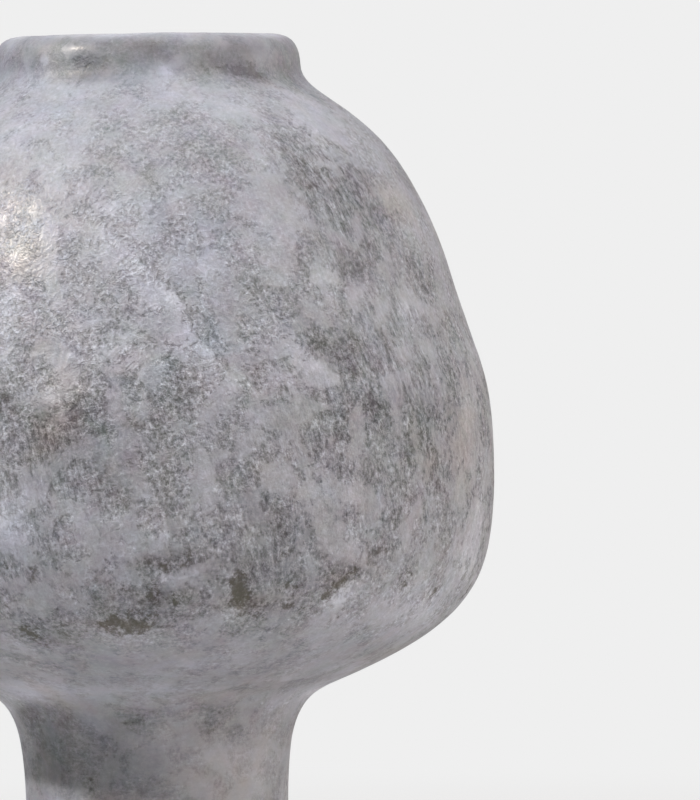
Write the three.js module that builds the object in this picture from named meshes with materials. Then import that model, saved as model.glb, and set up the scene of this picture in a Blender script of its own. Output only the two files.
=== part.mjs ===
// A footed globe vase: a hollow fired-clay body made of four turned sections and a base disc, which lap
// into each other and are bonded, under one hand-trowelled skim coat that runs from the foot's hem up
// over the lip and a little way down the mouth.
//
// Millimetres, +Z up. The origin is the middle of the base, on the surface that the vase stands on.

import * as THREE from "three";

// The finished outside, from the table up. A rise is the height of one stretch of the outline, a flare or
// setback is how much wider or narrower it ends, and an angle is how steeply it runs there, from level.
const PAD_THICKNESS = 2.5;
const PEDESTAL_RADIUS = 48.7;
const PEDESTAL_RISE = 20.5;
const NECK_RISE = 57.5;
const UNDERSIDE_FLARE = 20.8;
const UNDERSIDE_ANGLE = 23.5;
const BELLY_RISE = 79.5;
const BELLY_RADIUS = 127;
const FLANK_RISE = 71;
const FLANK_SETBACK = 15.5;
const FLANK_ANGLE = 106.5;
const SHOULDER_RISE = 44.5;
const SHOULDER_SETBACK = 21;
const SHOULDER_ANGLE = 127.5;
const COLLAR_RISE = 32.5;
const COLLAR_ANGLE = 92;
const LIP_RISE = 12;
const LIP_THICKNESS = 18.7;
const MOUTH_RADIUS = 38.5;
const MOUTH_ROUNDING_WIDTH = 7.5;
const MOUTH_ROUNDING_DEPTH = 7;

// The wall, from the outside in.
const COAT_THICKNESS = 1.5;
const WALL_THICKNESS = 10;
const COAT_HEM_MARGIN = 1.5;
const COAT_REACH_IN_MOUTH = 8;

// How the sections lap into each other.
const PEDESTAL_SECTION_HEIGHT = 47.5;
const COLLAR_SECTION_HEIGHT = 21;
const COLLAR_LAND_WIDTH = 6;
const TONGUE_THICKNESS = 3.6;
const TONGUE_HEIGHT = 8;
const THROAT_LAND = 2.4;
const THROAT_HEIGHT = 7;
const BOND_THICKNESS = 1.2;
const CLEARANCE = 0.3;

// The base.
const FOOT_WALL = 4;
const FOOT_EDGE_CHAMFER = 1.5;
const DISC_THICKNESS = 9;
const PAD_RADIUS = 7;
const PAD_MARGIN = 1.6;
const PAD_COUNT = 4;

const ROUND_STEPS = 48;
const PAD_STEPS = 24;

// Heights above the table that follow from the sizes above.
const baseZ = PAD_THICKNESS;
const hemZ = baseZ + FOOT_EDGE_CHAMFER + COAT_HEM_MARGIN;
const sweepZ = baseZ + PEDESTAL_RISE;
const undersideZ = sweepZ + NECK_RISE;
const bellyZ = undersideZ + BELLY_RISE;
const flankZ = bellyZ + FLANK_RISE;
const shoulderZ = flankZ + SHOULDER_RISE;
const collarZ = shoulderZ + COLLAR_RISE;
const crownZ = collarZ + LIP_RISE;
const mouthZ = crownZ - MOUTH_ROUNDING_DEPTH;
const neckSeamZ = baseZ + PEDESTAL_SECTION_HEIGHT;
const collarSeamZ = crownZ - COLLAR_SECTION_HEIGHT;
const discTopZ = baseZ + DISC_THICKNESS;
const ledgeZ = discTopZ + BOND_THICKNESS;

// Radii and depths that follow from them.
const coreDepth = COAT_THICKNESS + CLEARANCE;
const flankRadius = BELLY_RADIUS - FLANK_SETBACK;
const footRadius = PEDESTAL_RADIUS - coreDepth;
const seatRadius = footRadius - FOOT_WALL;
const discRadius = seatRadius - CLEARANCE;
const padCircleRadius = discRadius - PAD_MARGIN - PAD_RADIUS;
const boreRadius = MOUTH_RADIUS + coreDepth;

// A place on the outline: its radius, its height, and the angle at which the outline runs there.
const at = (radius, height, degrees) => ({
  point: new THREE.Vector2(radius, height),
  heading: new THREE.Vector2(1, 0).rotateAround(new THREE.Vector2(), THREE.MathUtils.degToRad(degrees)),
});

// A smooth stretch of outline. Each pull is how long the curve keeps its end's heading, as a share of
// the distance between the two places.
function stretch(from, to, pullFrom, pullTo, steps) {
  const span = from.point.distanceTo(to.point);
  const curve = new THREE.CubicBezierCurve(
    from.point,
    from.point.clone().addScaledVector(from.heading, pullFrom * span),
    to.point.clone().addScaledVector(to.heading, -pullTo * span),
    to.point,
  );
  return { curve, steps };
}

const hem = at(PEDESTAL_RADIUS, hemZ, 90);
const sweep = at(PEDESTAL_RADIUS, sweepZ, 90);
const underside = at(PEDESTAL_RADIUS + UNDERSIDE_FLARE, undersideZ, UNDERSIDE_ANGLE);
const belly = at(BELLY_RADIUS, bellyZ, 90);
const flank = at(flankRadius, flankZ, FLANK_ANGLE);
const shoulder = at(flankRadius - SHOULDER_SETBACK, shoulderZ, SHOULDER_ANGLE);
const collar = at(MOUTH_RADIUS + LIP_THICKNESS, collarZ, COLLAR_ANGLE);
const crown = at(MOUTH_RADIUS + MOUTH_ROUNDING_WIDTH, crownZ, 180);
const mouth = at(MOUTH_RADIUS, mouthZ, 270);
const mouthHem = at(MOUTH_RADIUS, mouthZ - COAT_REACH_IN_MOUTH, 270);

// The way up the outside, and the way from the crown down into the mouth.
const upTheOutside = [
  stretch(hem, sweep, 0.33, 0.33, 1),
  stretch(sweep, underside, 0.79, 0.27, 6),
  stretch(underside, belly, 0.54, 0.47, 7),
  stretch(belly, flank, 0.46, 0.43, 4),
  stretch(flank, shoulder, 0.1, 0.44, 4),
  stretch(shoulder, collar, 0.52, 0.22, 5),
  stretch(collar, crown, 0.49, 0.5, 4),
];
const downTheMouth = [
  stretch(crown, mouth, 0.4, 0.4, 3),
  stretch(mouth, mouthHem, 0.33, 0.33, 1),
];

// The outline taken in by a depth, square to itself, as points of radius and height.
function inset(stretches, depth) {
  return stretches.flatMap(({ curve, steps }, index) => {
    const first = index === 0 ? 0 : 1;
    return Array.from({ length: steps + 1 - first }, (_, i) => {
      const share = (i + first) / steps;
      const heading = curve.getTangent(share);
      return curve.getPoint(share).add(new THREE.Vector2(-heading.y, heading.x).multiplyScalar(depth));
    });
  });
}

// The radius of a rising line of points at one height.
function radiusAt(points, height) {
  const next = points.findIndex((p) => p.y > height);
  if (next < 1) return points.at(next).x;
  const [low, high] = [points[next - 1], points[next]];
  return THREE.MathUtils.mapLinear(height, low.y, high.y, low.x, high.x);
}

// The height at which a line of points, past its widest, has narrowed to a radius.
function heightAt(points, radius) {
  const next = points.findIndex((p, i) => i > 0 && points[i - 1].x > radius && p.x <= radius);
  const [wide, narrow] = [points[next - 1], points[next]];
  return THREE.MathUtils.mapLinear(radius, wide.x, narrow.x, wide.y, narrow.y);
}

// The part of a rising line of points above a height, and the part between two heights.
const above = (points, low) => [
  new THREE.Vector2(radiusAt(points, low), low),
  ...points.filter((p) => p.y > low),
];
const between = (points, low, high) => [
  ...above(points, low).filter((p) => p.y < high),
  new THREE.Vector2(radiusAt(points, high), high),
];

// A solid turned about the vase's axis from a closed section, given as points of radius and height in
// the order up the outside and down the inside.
function turned(section) {
  const points = section.map((p) => (p.isVector2 ? p : new THREE.Vector2(...p)));
  return new THREE.LatheGeometry([...points, points[0]], ROUND_STEPS).rotateX(Math.PI / 2);
}

const coreOutside = inset(upTheOutside, coreDepth);
const inside = inset(upTheOutside, WALL_THICKNESS);

// A lap joint inside the wall: the section below carries a tongue, and the section above a socket round it.
function lapJoint(seamZ) {
  const tongueZ = seamZ + TONGUE_HEIGHT;
  const tongueRadius = Math.max(radiusAt(inside, seamZ), radiusAt(inside, tongueZ)) + TONGUE_THICKNESS;
  return {
    landZ: seamZ - BOND_THICKNESS / 2,
    seatZ: seamZ + BOND_THICKNESS / 2,
    tongueRadius,
    tongueZ,
    socketRadius: tongueRadius + CLEARANCE,
    socketZ: tongueZ + CLEARANCE,
  };
}

// The joint under the collar: the collar's tongue hangs in the dome's opening, as deep as the dome's wall.
function hangingJoint(seamZ, landWidth) {
  const landZ = seamZ - BOND_THICKNESS / 2;
  const openingRadius = radiusAt(coreOutside, landZ) - landWidth;
  return {
    landZ,
    seatZ: seamZ + BOND_THICKNESS / 2,
    socketRadius: openingRadius,
    tongueRadius: openingRadius - CLEARANCE,
    tongueZ: heightAt(inside, openingRadius),
  };
}

const neckJoint = lapJoint(neckSeamZ);
const bellyJoint = lapJoint(bellyZ);
const collarJoint = hangingJoint(collarSeamZ, COLLAR_LAND_WIDTH);

// The land and tongue that end a section at its top, and the seat and socket that end one at its foot.
const tongueUp = (joint) => [
  [joint.tongueRadius, joint.landZ],
  [joint.tongueRadius, joint.tongueZ],
];
const socketDown = (joint) => [
  [joint.socketRadius, joint.socketZ],
  [joint.socketRadius, joint.seatZ],
];

function pedestalGeometry() {
  return turned([
    [footRadius - FOOT_EDGE_CHAMFER, baseZ],
    [footRadius, baseZ + FOOT_EDGE_CHAMFER],
    ...between(coreOutside, hemZ, neckJoint.landZ),
    ...tongueUp(neckJoint),
    ...between(inside, ledgeZ, neckJoint.tongueZ).reverse(),
    [seatRadius, ledgeZ],
    [seatRadius, baseZ],
  ]);
}

function bowlGeometry() {
  return turned([
    ...between(coreOutside, neckJoint.seatZ, bellyJoint.landZ),
    ...tongueUp(bellyJoint),
    ...between(inside, neckJoint.socketZ, bellyJoint.tongueZ).reverse(),
    ...socketDown(neckJoint),
  ]);
}

function domeGeometry() {
  return turned([
    ...between(coreOutside, bellyJoint.seatZ, collarJoint.landZ),
    [collarJoint.socketRadius, collarJoint.landZ],
    ...between(inside, bellyJoint.socketZ, collarJoint.tongueZ).reverse(),
    ...socketDown(bellyJoint),
  ]);
}

function collarGeometry() {
  const throat = new THREE.QuadraticBezierCurve(
    new THREE.Vector2(boreRadius, collarJoint.tongueZ + THROAT_HEIGHT),
    new THREE.Vector2(boreRadius, collarJoint.tongueZ + THROAT_HEIGHT / 2),
    new THREE.Vector2(collarJoint.tongueRadius - THROAT_LAND, collarJoint.tongueZ),
  );
  return turned([
    ...above(coreOutside, collarJoint.seatZ),
    ...inset(downTheMouth.slice(0, 1), coreDepth).slice(1),
    ...throat.getPoints(4),
    [collarJoint.tongueRadius, collarJoint.tongueZ],
    [collarJoint.tongueRadius, collarJoint.seatZ],
  ]);
}

// The coat follows the whole outline on its outside and the clay's face, less a clearance, on its inside.
function coatGeometry() {
  const path = [...upTheOutside, ...downTheMouth];
  return turned([...inset(path, 0), ...inset(path, COAT_THICKNESS).reverse()]);
}

// A flat ring of bonding mortar between two sections. It stays inside the clay's face.
function bondGeometry(innerRadius, outerRadius, lowZ) {
  return turned([
    [outerRadius, lowZ],
    [outerRadius, lowZ + BOND_THICKNESS],
    [innerRadius, lowZ + BOND_THICKNESS],
    [innerRadius, lowZ],
  ]);
}

function seamBondGeometry(joint) {
  const outerRadius = Math.min(radiusAt(coreOutside, joint.landZ), radiusAt(coreOutside, joint.seatZ));
  return bondGeometry(joint.socketRadius, outerRadius, joint.landZ);
}

function discGeometry() {
  return turned([
    [0, baseZ],
    [discRadius, baseZ],
    [discRadius, discTopZ],
    [0, discTopZ],
  ]);
}

const firedClay = new THREE.MeshStandardMaterial({ color: 0x77706a, roughness: 0.85, metalness: 0 });
const skimCoat = new THREE.MeshStandardMaterial({ color: 0x9b9a9f, roughness: 0.6, metalness: 0 });
const bondMortar = new THREE.MeshStandardMaterial({ color: 0xb5b0a6, roughness: 0.95, metalness: 0 });
const feltCloth = new THREE.MeshStandardMaterial({ color: 0x3b3a3a, roughness: 1, metalness: 0 });

function piece(name, geometry, material) {
  const mesh = new THREE.Mesh(geometry, material);
  mesh.name = name;
  return mesh;
}

const clayBody = new THREE.Group();
clayBody.add(
  piece("pedestal_foot", pedestalGeometry(), firedClay),
  piece("belly_bowl", bowlGeometry(), firedClay),
  piece("shoulder_dome", domeGeometry(), firedClay),
  piece("rim_collar", collarGeometry(), firedClay),
  piece("base_disc", discGeometry(), firedClay),
);

const bonds = new THREE.Group();
bonds.add(
  piece("base_bond_ring", bondGeometry(radiusAt(inside, ledgeZ), discRadius, discTopZ), bondMortar),
  piece("neck_bond_ring", seamBondGeometry(neckJoint), bondMortar),
  piece("belly_bond_ring", seamBondGeometry(bellyJoint), bondMortar),
  piece("collar_bond_ring", seamBondGeometry(collarJoint), bondMortar),
);

// Self-adhesive felt pads stuck to the underside of the base disc, on a circle.
const pads = new THREE.Group();
for (let i = 0; i < PAD_COUNT; i++) {
  const disc = new THREE.CylinderGeometry(PAD_RADIUS, PAD_RADIUS, PAD_THICKNESS, PAD_STEPS);
  const pad = piece(`felt_pad_${i + 1}`, disc.rotateX(Math.PI / 2), feltCloth);
  const turn = (i / PAD_COUNT) * 2 * Math.PI;
  pad.position.set(padCircleRadius * Math.cos(turn), padCircleRadius * Math.sin(turn), PAD_THICKNESS / 2);
  pads.add(pad);
}

const vase = new THREE.Group();
vase.add(clayBody, bonds, pads, piece("skim_coat", coatGeometry(), skimCoat));

export default vase;
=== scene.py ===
# %% [markdown]
# # A footed globe vase with a hand-trowelled coat
# The vase is turned clay in four sections, bonded together and hidden under one thin coat that was put
# on by hand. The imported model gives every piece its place. This script makes the surfaces: the uneven
# coat, the turned clay inside it, the pads below it, and the materials, light and camera.

# %% Load the fixed frame
import math
import random

import bmesh
import bpy
import numpy as np
from mathutils import Matrix, Vector, noise
from mathutils.geometry import interpolate_bezier


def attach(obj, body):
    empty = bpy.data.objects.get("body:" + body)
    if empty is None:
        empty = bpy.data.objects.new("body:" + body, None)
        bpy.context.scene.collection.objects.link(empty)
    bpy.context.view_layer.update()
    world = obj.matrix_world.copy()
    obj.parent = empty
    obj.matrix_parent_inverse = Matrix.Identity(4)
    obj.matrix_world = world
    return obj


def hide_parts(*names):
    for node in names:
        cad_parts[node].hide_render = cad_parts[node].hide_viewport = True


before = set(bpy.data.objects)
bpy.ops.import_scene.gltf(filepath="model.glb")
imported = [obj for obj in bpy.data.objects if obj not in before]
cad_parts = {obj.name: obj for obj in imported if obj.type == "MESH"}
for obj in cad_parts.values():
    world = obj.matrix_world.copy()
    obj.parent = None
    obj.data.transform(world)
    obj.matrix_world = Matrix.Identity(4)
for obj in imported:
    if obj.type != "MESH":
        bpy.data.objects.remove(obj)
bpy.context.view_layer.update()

# %% [markdown]
# ## Small helpers
# Sizes are written in millimetres, as a potter would give them, and Blender's unit is the metre.
# Colours are written as sRGB hex values, and the shader wants linear light, so one function turns them.

# %% Units, colours and shader nodes
MM = 0.001


def linear(hex_colour):
    """A linear RGBA colour from an sRGB hex value such as "8A8A90"."""
    channels = [int(hex_colour[i:i + 2], 16) / 255 for i in (0, 2, 4)]
    light = [c / 12.92 if c <= 0.04045 else ((c + 0.055) / 1.055) ** 2.4 for c in channels]
    return (*light, 1.0)


def add_node(tree, kind, inputs=None, **settings):
    """Adds a node, applies its settings, and fills its inputs with values or links."""
    made = tree.nodes.new(kind)
    for name, value in settings.items():
        setattr(made, name, value)
    for socket, value in (inputs or {}).items():
        if isinstance(value, bpy.types.NodeSocket):
            tree.links.new(value, made.inputs[socket])
        else:
            made.inputs[socket].default_value = value
    return made


def new_material(name):
    """An empty material, its node tree, and its output node."""
    material = bpy.data.materials.new(name)
    material.use_nodes = True
    material.node_tree.nodes.clear()
    output = add_node(material.node_tree, "ShaderNodeOutputMaterial")
    return material, material.node_tree, output


# %% [markdown]
# ## Camera
# The rim is seen exactly from the side and the foot's sides look parallel, so the picture was taken from
# far away with a long lens. The vase stands left of the middle and leans by less than a degree, which is
# the camera's roll and not the vase's. The lens follows from the scale, because the sensor's long side
# takes in the picture's height.

# %% Place the camera
PICTURE_HEIGHT_PIXELS = 800
PIXELS_PER_MM = 2.7
SENSOR_WIDTH = 36
CAMERA_DISTANCE = 3.2
CAMERA_RIGHT = 0.0735
CAMERA_HEIGHT = 0.239
AIM_HEIGHT = 0.1837
CAMERA_ROLL = math.radians(-0.77)

camera_data = bpy.data.cameras.new("long_lens")
camera_data.sensor_width = SENSOR_WIDTH
camera_data.lens = SENSOR_WIDTH * PIXELS_PER_MM * CAMERA_DISTANCE / MM / PICTURE_HEIGHT_PIXELS
camera = bpy.data.objects.new("camera", camera_data)
bpy.context.scene.collection.objects.link(camera)
camera.location = (CAMERA_RIGHT, -CAMERA_DISTANCE, CAMERA_HEIGHT)
aim = Vector((CAMERA_RIGHT, 0, AIM_HEIGHT)) - camera.location
camera.rotation_euler = aim.to_track_quat("-Z", "Y").to_euler()
camera.rotation_euler.rotate_axis("Z", CAMERA_ROLL)
camera_data.clip_start = 0.05
camera_data.clip_end = 100
bpy.context.scene.camera = camera
bpy.context.scene.view_settings.view_transform = "Standard"
print("lens, mm:", round(camera_data.lens, 1))

# %% [markdown]
# ## Floor and surroundings
# The picture is taken against plain pale paper. The floor is one wide disc. Close to the vase it is partly
# a real surface that takes a shadow, and further out the camera sees the same even tone as around it.

# %% Pale floor and surroundings
PAPER = linear("EFEFEF")
FLOOR_RADIUS = 20
SHADOW_FADE_START = 0.3
SHADOW_FADE_END = 0.8
NEAR_GLOW = 0.6
SURROUNDING_STRENGTH = 0.08

floor_mesh = bpy.data.meshes.new("floor")
shape = bmesh.new()
bmesh.ops.create_circle(shape, cap_ends=True, radius=FLOOR_RADIUS, segments=96)
shape.to_mesh(floor_mesh)
shape.free()
floor = bpy.data.objects.new("floor", floor_mesh)
bpy.context.scene.collection.objects.link(floor)

floor_material, tree, output = new_material("pale_paper_floor")
place = add_node(tree, "ShaderNodeTexCoord").outputs["Object"]
distance = add_node(tree, "ShaderNodeVectorMath", {0: place}, operation="LENGTH").outputs["Value"]
fade = add_node(tree, "ShaderNodeMapRange", {
    "Value": distance, "From Min": SHADOW_FADE_START, "From Max": SHADOW_FADE_END,
    "To Min": NEAR_GLOW, "To Max": 1.0}, interpolation_type="SMOOTHSTEP")
seen = add_node(tree, "ShaderNodeLightPath").outputs["Is Camera Ray"]
share = add_node(tree, "ShaderNodeMath", {0: seen, 1: fade.outputs["Result"]}, operation="MULTIPLY")
paper = add_node(tree, "ShaderNodeBsdfDiffuse", {"Color": linear("DCDAD8")})
glow = add_node(tree, "ShaderNodeEmission", {"Color": PAPER, "Strength": 1.0})
mixed = add_node(tree, "ShaderNodeMixShader", {
    0: share.outputs[0], 1: paper.outputs[0], 2: glow.outputs[0]})
tree.links.new(mixed.outputs[0], output.inputs["Surface"])
floor_mesh.materials.append(floor_material)

world = bpy.data.worlds.new("pale_surroundings")
world.use_nodes = True
bpy.context.scene.world = world
tree = world.node_tree
tree.nodes.clear()
seen = add_node(tree, "ShaderNodeLightPath").outputs["Is Camera Ray"]
lit = add_node(tree, "ShaderNodeBackground", {"Color": linear("F4F6FA"), "Strength": SURROUNDING_STRENGTH})
shown = add_node(tree, "ShaderNodeBackground", {"Color": PAPER, "Strength": 1.0})
mixed = add_node(tree, "ShaderNodeMixShader", {0: seen, 1: lit.outputs[0], 2: shown.outputs[0]})
output = add_node(tree, "ShaderNodeOutputWorld")
tree.links.new(mixed.outputs[0], output.inputs["Surface"])
print("floor radius, m:", FLOOR_RADIUS, "light from all around:", SURROUNDING_STRENGTH)

# %% [markdown]
# ## Light
# One small lamp stands high on the left: it makes the broken glints on the left of the body and throws the
# belly's shadow on the foot. Wide panels above, on the right and behind soften the rest, and low ones on
# the right and behind light the belly from below. A faint one low on the left adds a little sparkle, and
# one behind on the left is for the sides that the picture doesn't show. The last lamp is wider and warmer,
# stands close to the first and shows in gloss only, so that the wax gleams without getting lighter.
# Directions and first powers come from fitting test renders to the brightness of the picture. After that
# they were changed one by one.

# %% Set up the lamps
LAMPS = {
    # name: (degrees from the front, degrees up, width in m, power in W, colour)
    "key_high_left": (-65, 42, 0.08, 28, "FFFEFC"),
    "glint_low_left": (-33, 15, 0.3, 1, "FFF2EA"),
    "panel_overhead": (0, 68, 1.4, 26, "F6F8FF"),
    "panel_front_right": (60, 43, 1.4, 11, "FFFAEC"),
    "panel_low_right": (78, 4, 0.7, 12, "FFF1E2"),
    "panel_high_right": (105, 38, 1.4, 7, "FFFBF4"),
    "panel_low_behind_right": (150, 4, 0.5, 1.6, "FFF9F3"),
    "panel_low_behind": (180, 15, 1.4, 2.5, "FFFBF6"),
    "panel_high_behind": (180, 43, 1.4, 9, "FAFAFF"),
    "panel_behind_left": (-120, 43, 1.4, 3, "FAFAFF"),
    "gleam_left": (-62, 42, 0.25, 42, "FFEBD0"),
}
GLEAMS_ONLY = ("gleam_left",)
LAMP_DISTANCE = 2.3
LAMP_AIM = Vector((0, 0, 0.1))

for name, (azimuth, rise, width, power, colour) in LAMPS.items():
    lamp_data = bpy.data.lights.new(name, "AREA")
    lamp_data.shape = "DISK"
    lamp_data.size = width
    lamp_data.energy = power
    lamp_data.color = linear(colour)[:3]
    lamp = bpy.data.objects.new(name, lamp_data)
    bpy.context.scene.collection.objects.link(lamp)
    turn, tilt = math.radians(azimuth), math.radians(rise)
    toward = Vector((math.sin(turn) * math.cos(tilt), -math.cos(turn) * math.cos(tilt), math.sin(tilt)))
    lamp.location = LAMP_AIM + toward * LAMP_DISTANCE
    lamp.rotation_euler = toward.to_track_quat("Z", "Y").to_euler()
    lamp.visible_diffuse = name not in GLEAMS_ONLY
print("lamps:", len(LAMPS), "watts in all:", round(sum(lamp[3] for lamp in LAMPS.values()), 1))

# %% [markdown]
# ## The outline
# Every turned piece follows one outline, seen in half section. Each place on it has a radius, a height and
# the angle at which the outline runs there. Smooth curves join the places, and each pull says how long a
# curve keeps the angle that it starts or ends with. The numbers are a rounded fit to the vase's edge in
# the picture, apart from the mouth's, which are guesses.

# %% Draw the outline
OUTLINE = [
    # radius, height, angle, pull towards the next place, pull of the next place
    (48.7, 5.5, 90, 0.33, 0.33),
    (48.7, 23, 90, 0.79, 0.27),
    (69.5, 80.5, 23.5, 0.54, 0.47),
    (127, 160, 90, 0.46, 0.43),
    (111.5, 231, 106.5, 0.1, 0.44),
    (90.5, 275.5, 127.5, 0.52, 0.22),
    (57.2, 308, 92, 0.49, 0.5),
    (46, 320, 180, 0.4, 0.4),
    (38.5, 313, 270, 0.33, 0.33),
    (38.5, 305, 270, 0, 0),
]
CURVE_STEPS = 300


def direction(angle):
    """One step in the direction of an angle in degrees."""
    return Vector((math.cos(math.radians(angle)), math.sin(math.radians(angle))))


def outline_line(depth=0.0, first=0, last=len(OUTLINE) - 1):
    """The outline taken in by a depth, as a dense line of (radius, height) in mm."""
    line = []
    for start, end in zip(OUTLINE[first:last], OUTLINE[first + 1:last + 1]):
        a, b = Vector(start[:2]), Vector(end[:2])
        run = (b - a).length
        leave, arrive = direction(start[2]), direction(end[2])
        curve = interpolate_bezier(
            a, a + leave * start[3] * run, b - arrive * start[4] * run, b, CURVE_STEPS)
        line += curve if not line else curve[1:]
    points = np.array([tuple(p) for p in line])
    ahead = np.gradient(points, axis=0)
    ahead /= np.linalg.norm(ahead, axis=1)[:, None]
    return points + depth * np.stack([-ahead[:, 1], ahead[:, 0]], axis=1)


def travelled(line):
    """How far along a line each of its points is, in mm."""
    steps = np.linalg.norm(np.diff(line, axis=0), axis=1)
    return np.concatenate([[0], np.cumsum(steps)])


def evenly(line, spacing):
    """The same line with points at even steps."""
    along = travelled(line)
    wanted = np.linspace(0, along[-1], max(2, round(along[-1] / spacing) + 1))
    return np.stack([np.interp(wanted, along, line[:, 0]), np.interp(wanted, along, line[:, 1])], axis=1)


outside = outline_line()
print("outline, mm:", round(travelled(outside)[-1], 1), "long, widest", round(2 * outside[:, 0].max(), 1))

# %% [markdown]
# ## Turning
# A potter's wheel makes a solid from half a section, and Blender's spin does the same. The section is a
# few points joined by edges in the XZ plane. Spin carries it an eighth of a turn, and three doublings of
# the result close the ring. One full spin would look the same, but its time grows with the square of its
# steps, and the coat needs hundreds of them.

# %% A helper that turns a section
SECTOR = math.pi / 4
CREASE = math.radians(40)
MERGE_WITHIN = 0.005


def turn_round(shape, points, steps, closed=True, marks=None):
    """Turns a line of (radius, height) points in mm once round the Z axis, inside a bmesh."""
    before = set(shape.verts)
    verts = [shape.verts.new((r * MM, 0, z * MM)) for r, z in points]
    pairs = list(zip(verts, verts[1:])) + ([(verts[-1], verts[0])] if closed else [])
    edges = [shape.edges.new(pair) for pair in pairs]
    if marks is not None:
        layer = shape.verts.layers.float["along"]
        for vert, mark in zip(verts, marks):
            vert[layer] = mark
    bmesh.ops.spin(shape, geom=verts + edges, cent=(0, 0, 0), axis=(0, 0, 1), dvec=(0, 0, 0),
                   angle=SECTOR, steps=steps // 8, use_merge=False)
    for doubling in (1, 2, 4):
        ring = [v for v in shape.verts if v not in before]
        part = set(ring)
        geometry = ring + [e for e in shape.edges if e.verts[0] in part]
        geometry += [f for f in shape.faces if f.verts[0] in part]
        copy = bmesh.ops.duplicate(shape, geom=geometry)["geom"]
        bmesh.ops.rotate(shape, verts=[g for g in copy if isinstance(g, bmesh.types.BMVert)],
                         cent=(0, 0, 0), matrix=Matrix.Rotation(SECTOR * doubling, 3, "Z"))
    bmesh.ops.remove_doubles(shape, verts=shape.verts, dist=MERGE_WITHIN * MM)


def finish_piece(piece, replaced, material):
    bpy.context.scene.collection.objects.link(piece)
    piece.data.materials.append(material)
    piece.data.shade_smooth()
    piece.data.set_sharp_from_angle(angle=CREASE)
    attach(piece, "root")
    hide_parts(*replaced)
    triangles = sum(len(p.vertices) - 2 for p in piece.data.polygons)
    print(piece.name, "triangles:", triangles)


# %% [markdown]
# ## The skim coat's shell
# The coat is 1.5 mm of stone-like plaster. Its outside needs a fine grid, because the trowel left laps,
# pits and waves in it. Its inside lies against the clay and never shows, so its points are further apart,
# and close together only where the lip bends. One section holds both, so the two hems close themselves.

# %% Turn the coat
COAT_THICKNESS = 1.5
COAT_STEPS = 384
OUTER_SPACING = 2.0
INNER_SPACING = 10.0
LIP_SPACING = 3.0
LIP_FROM = 298

shape = bmesh.new()
shape.verts.layers.float.new("along")
outer_line = evenly(outside, OUTER_SPACING)
inner_line = outline_line(COAT_THICKNESS)
lip_start = np.argmax(inner_line[:, 1] > LIP_FROM)
inner_line = np.concatenate([evenly(inner_line[:lip_start + 1], INNER_SPACING),
                             evenly(inner_line[lip_start:], LIP_SPACING)[1:]])
turn_round(shape, np.concatenate([outer_line, inner_line[::-1]]), COAT_STEPS,
           marks=[*travelled(outer_line), *[-1] * len(inner_line)])
bmesh.ops.recalc_face_normals(shape, faces=shape.faces)
coat_mesh = bpy.data.meshes.new("skim_coat_trowelled")
shape.to_mesh(coat_mesh)
print("coat faces:", len(shape.faces), "open edges:", sum(e.is_boundary for e in shape.edges))
shape.free()
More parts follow.
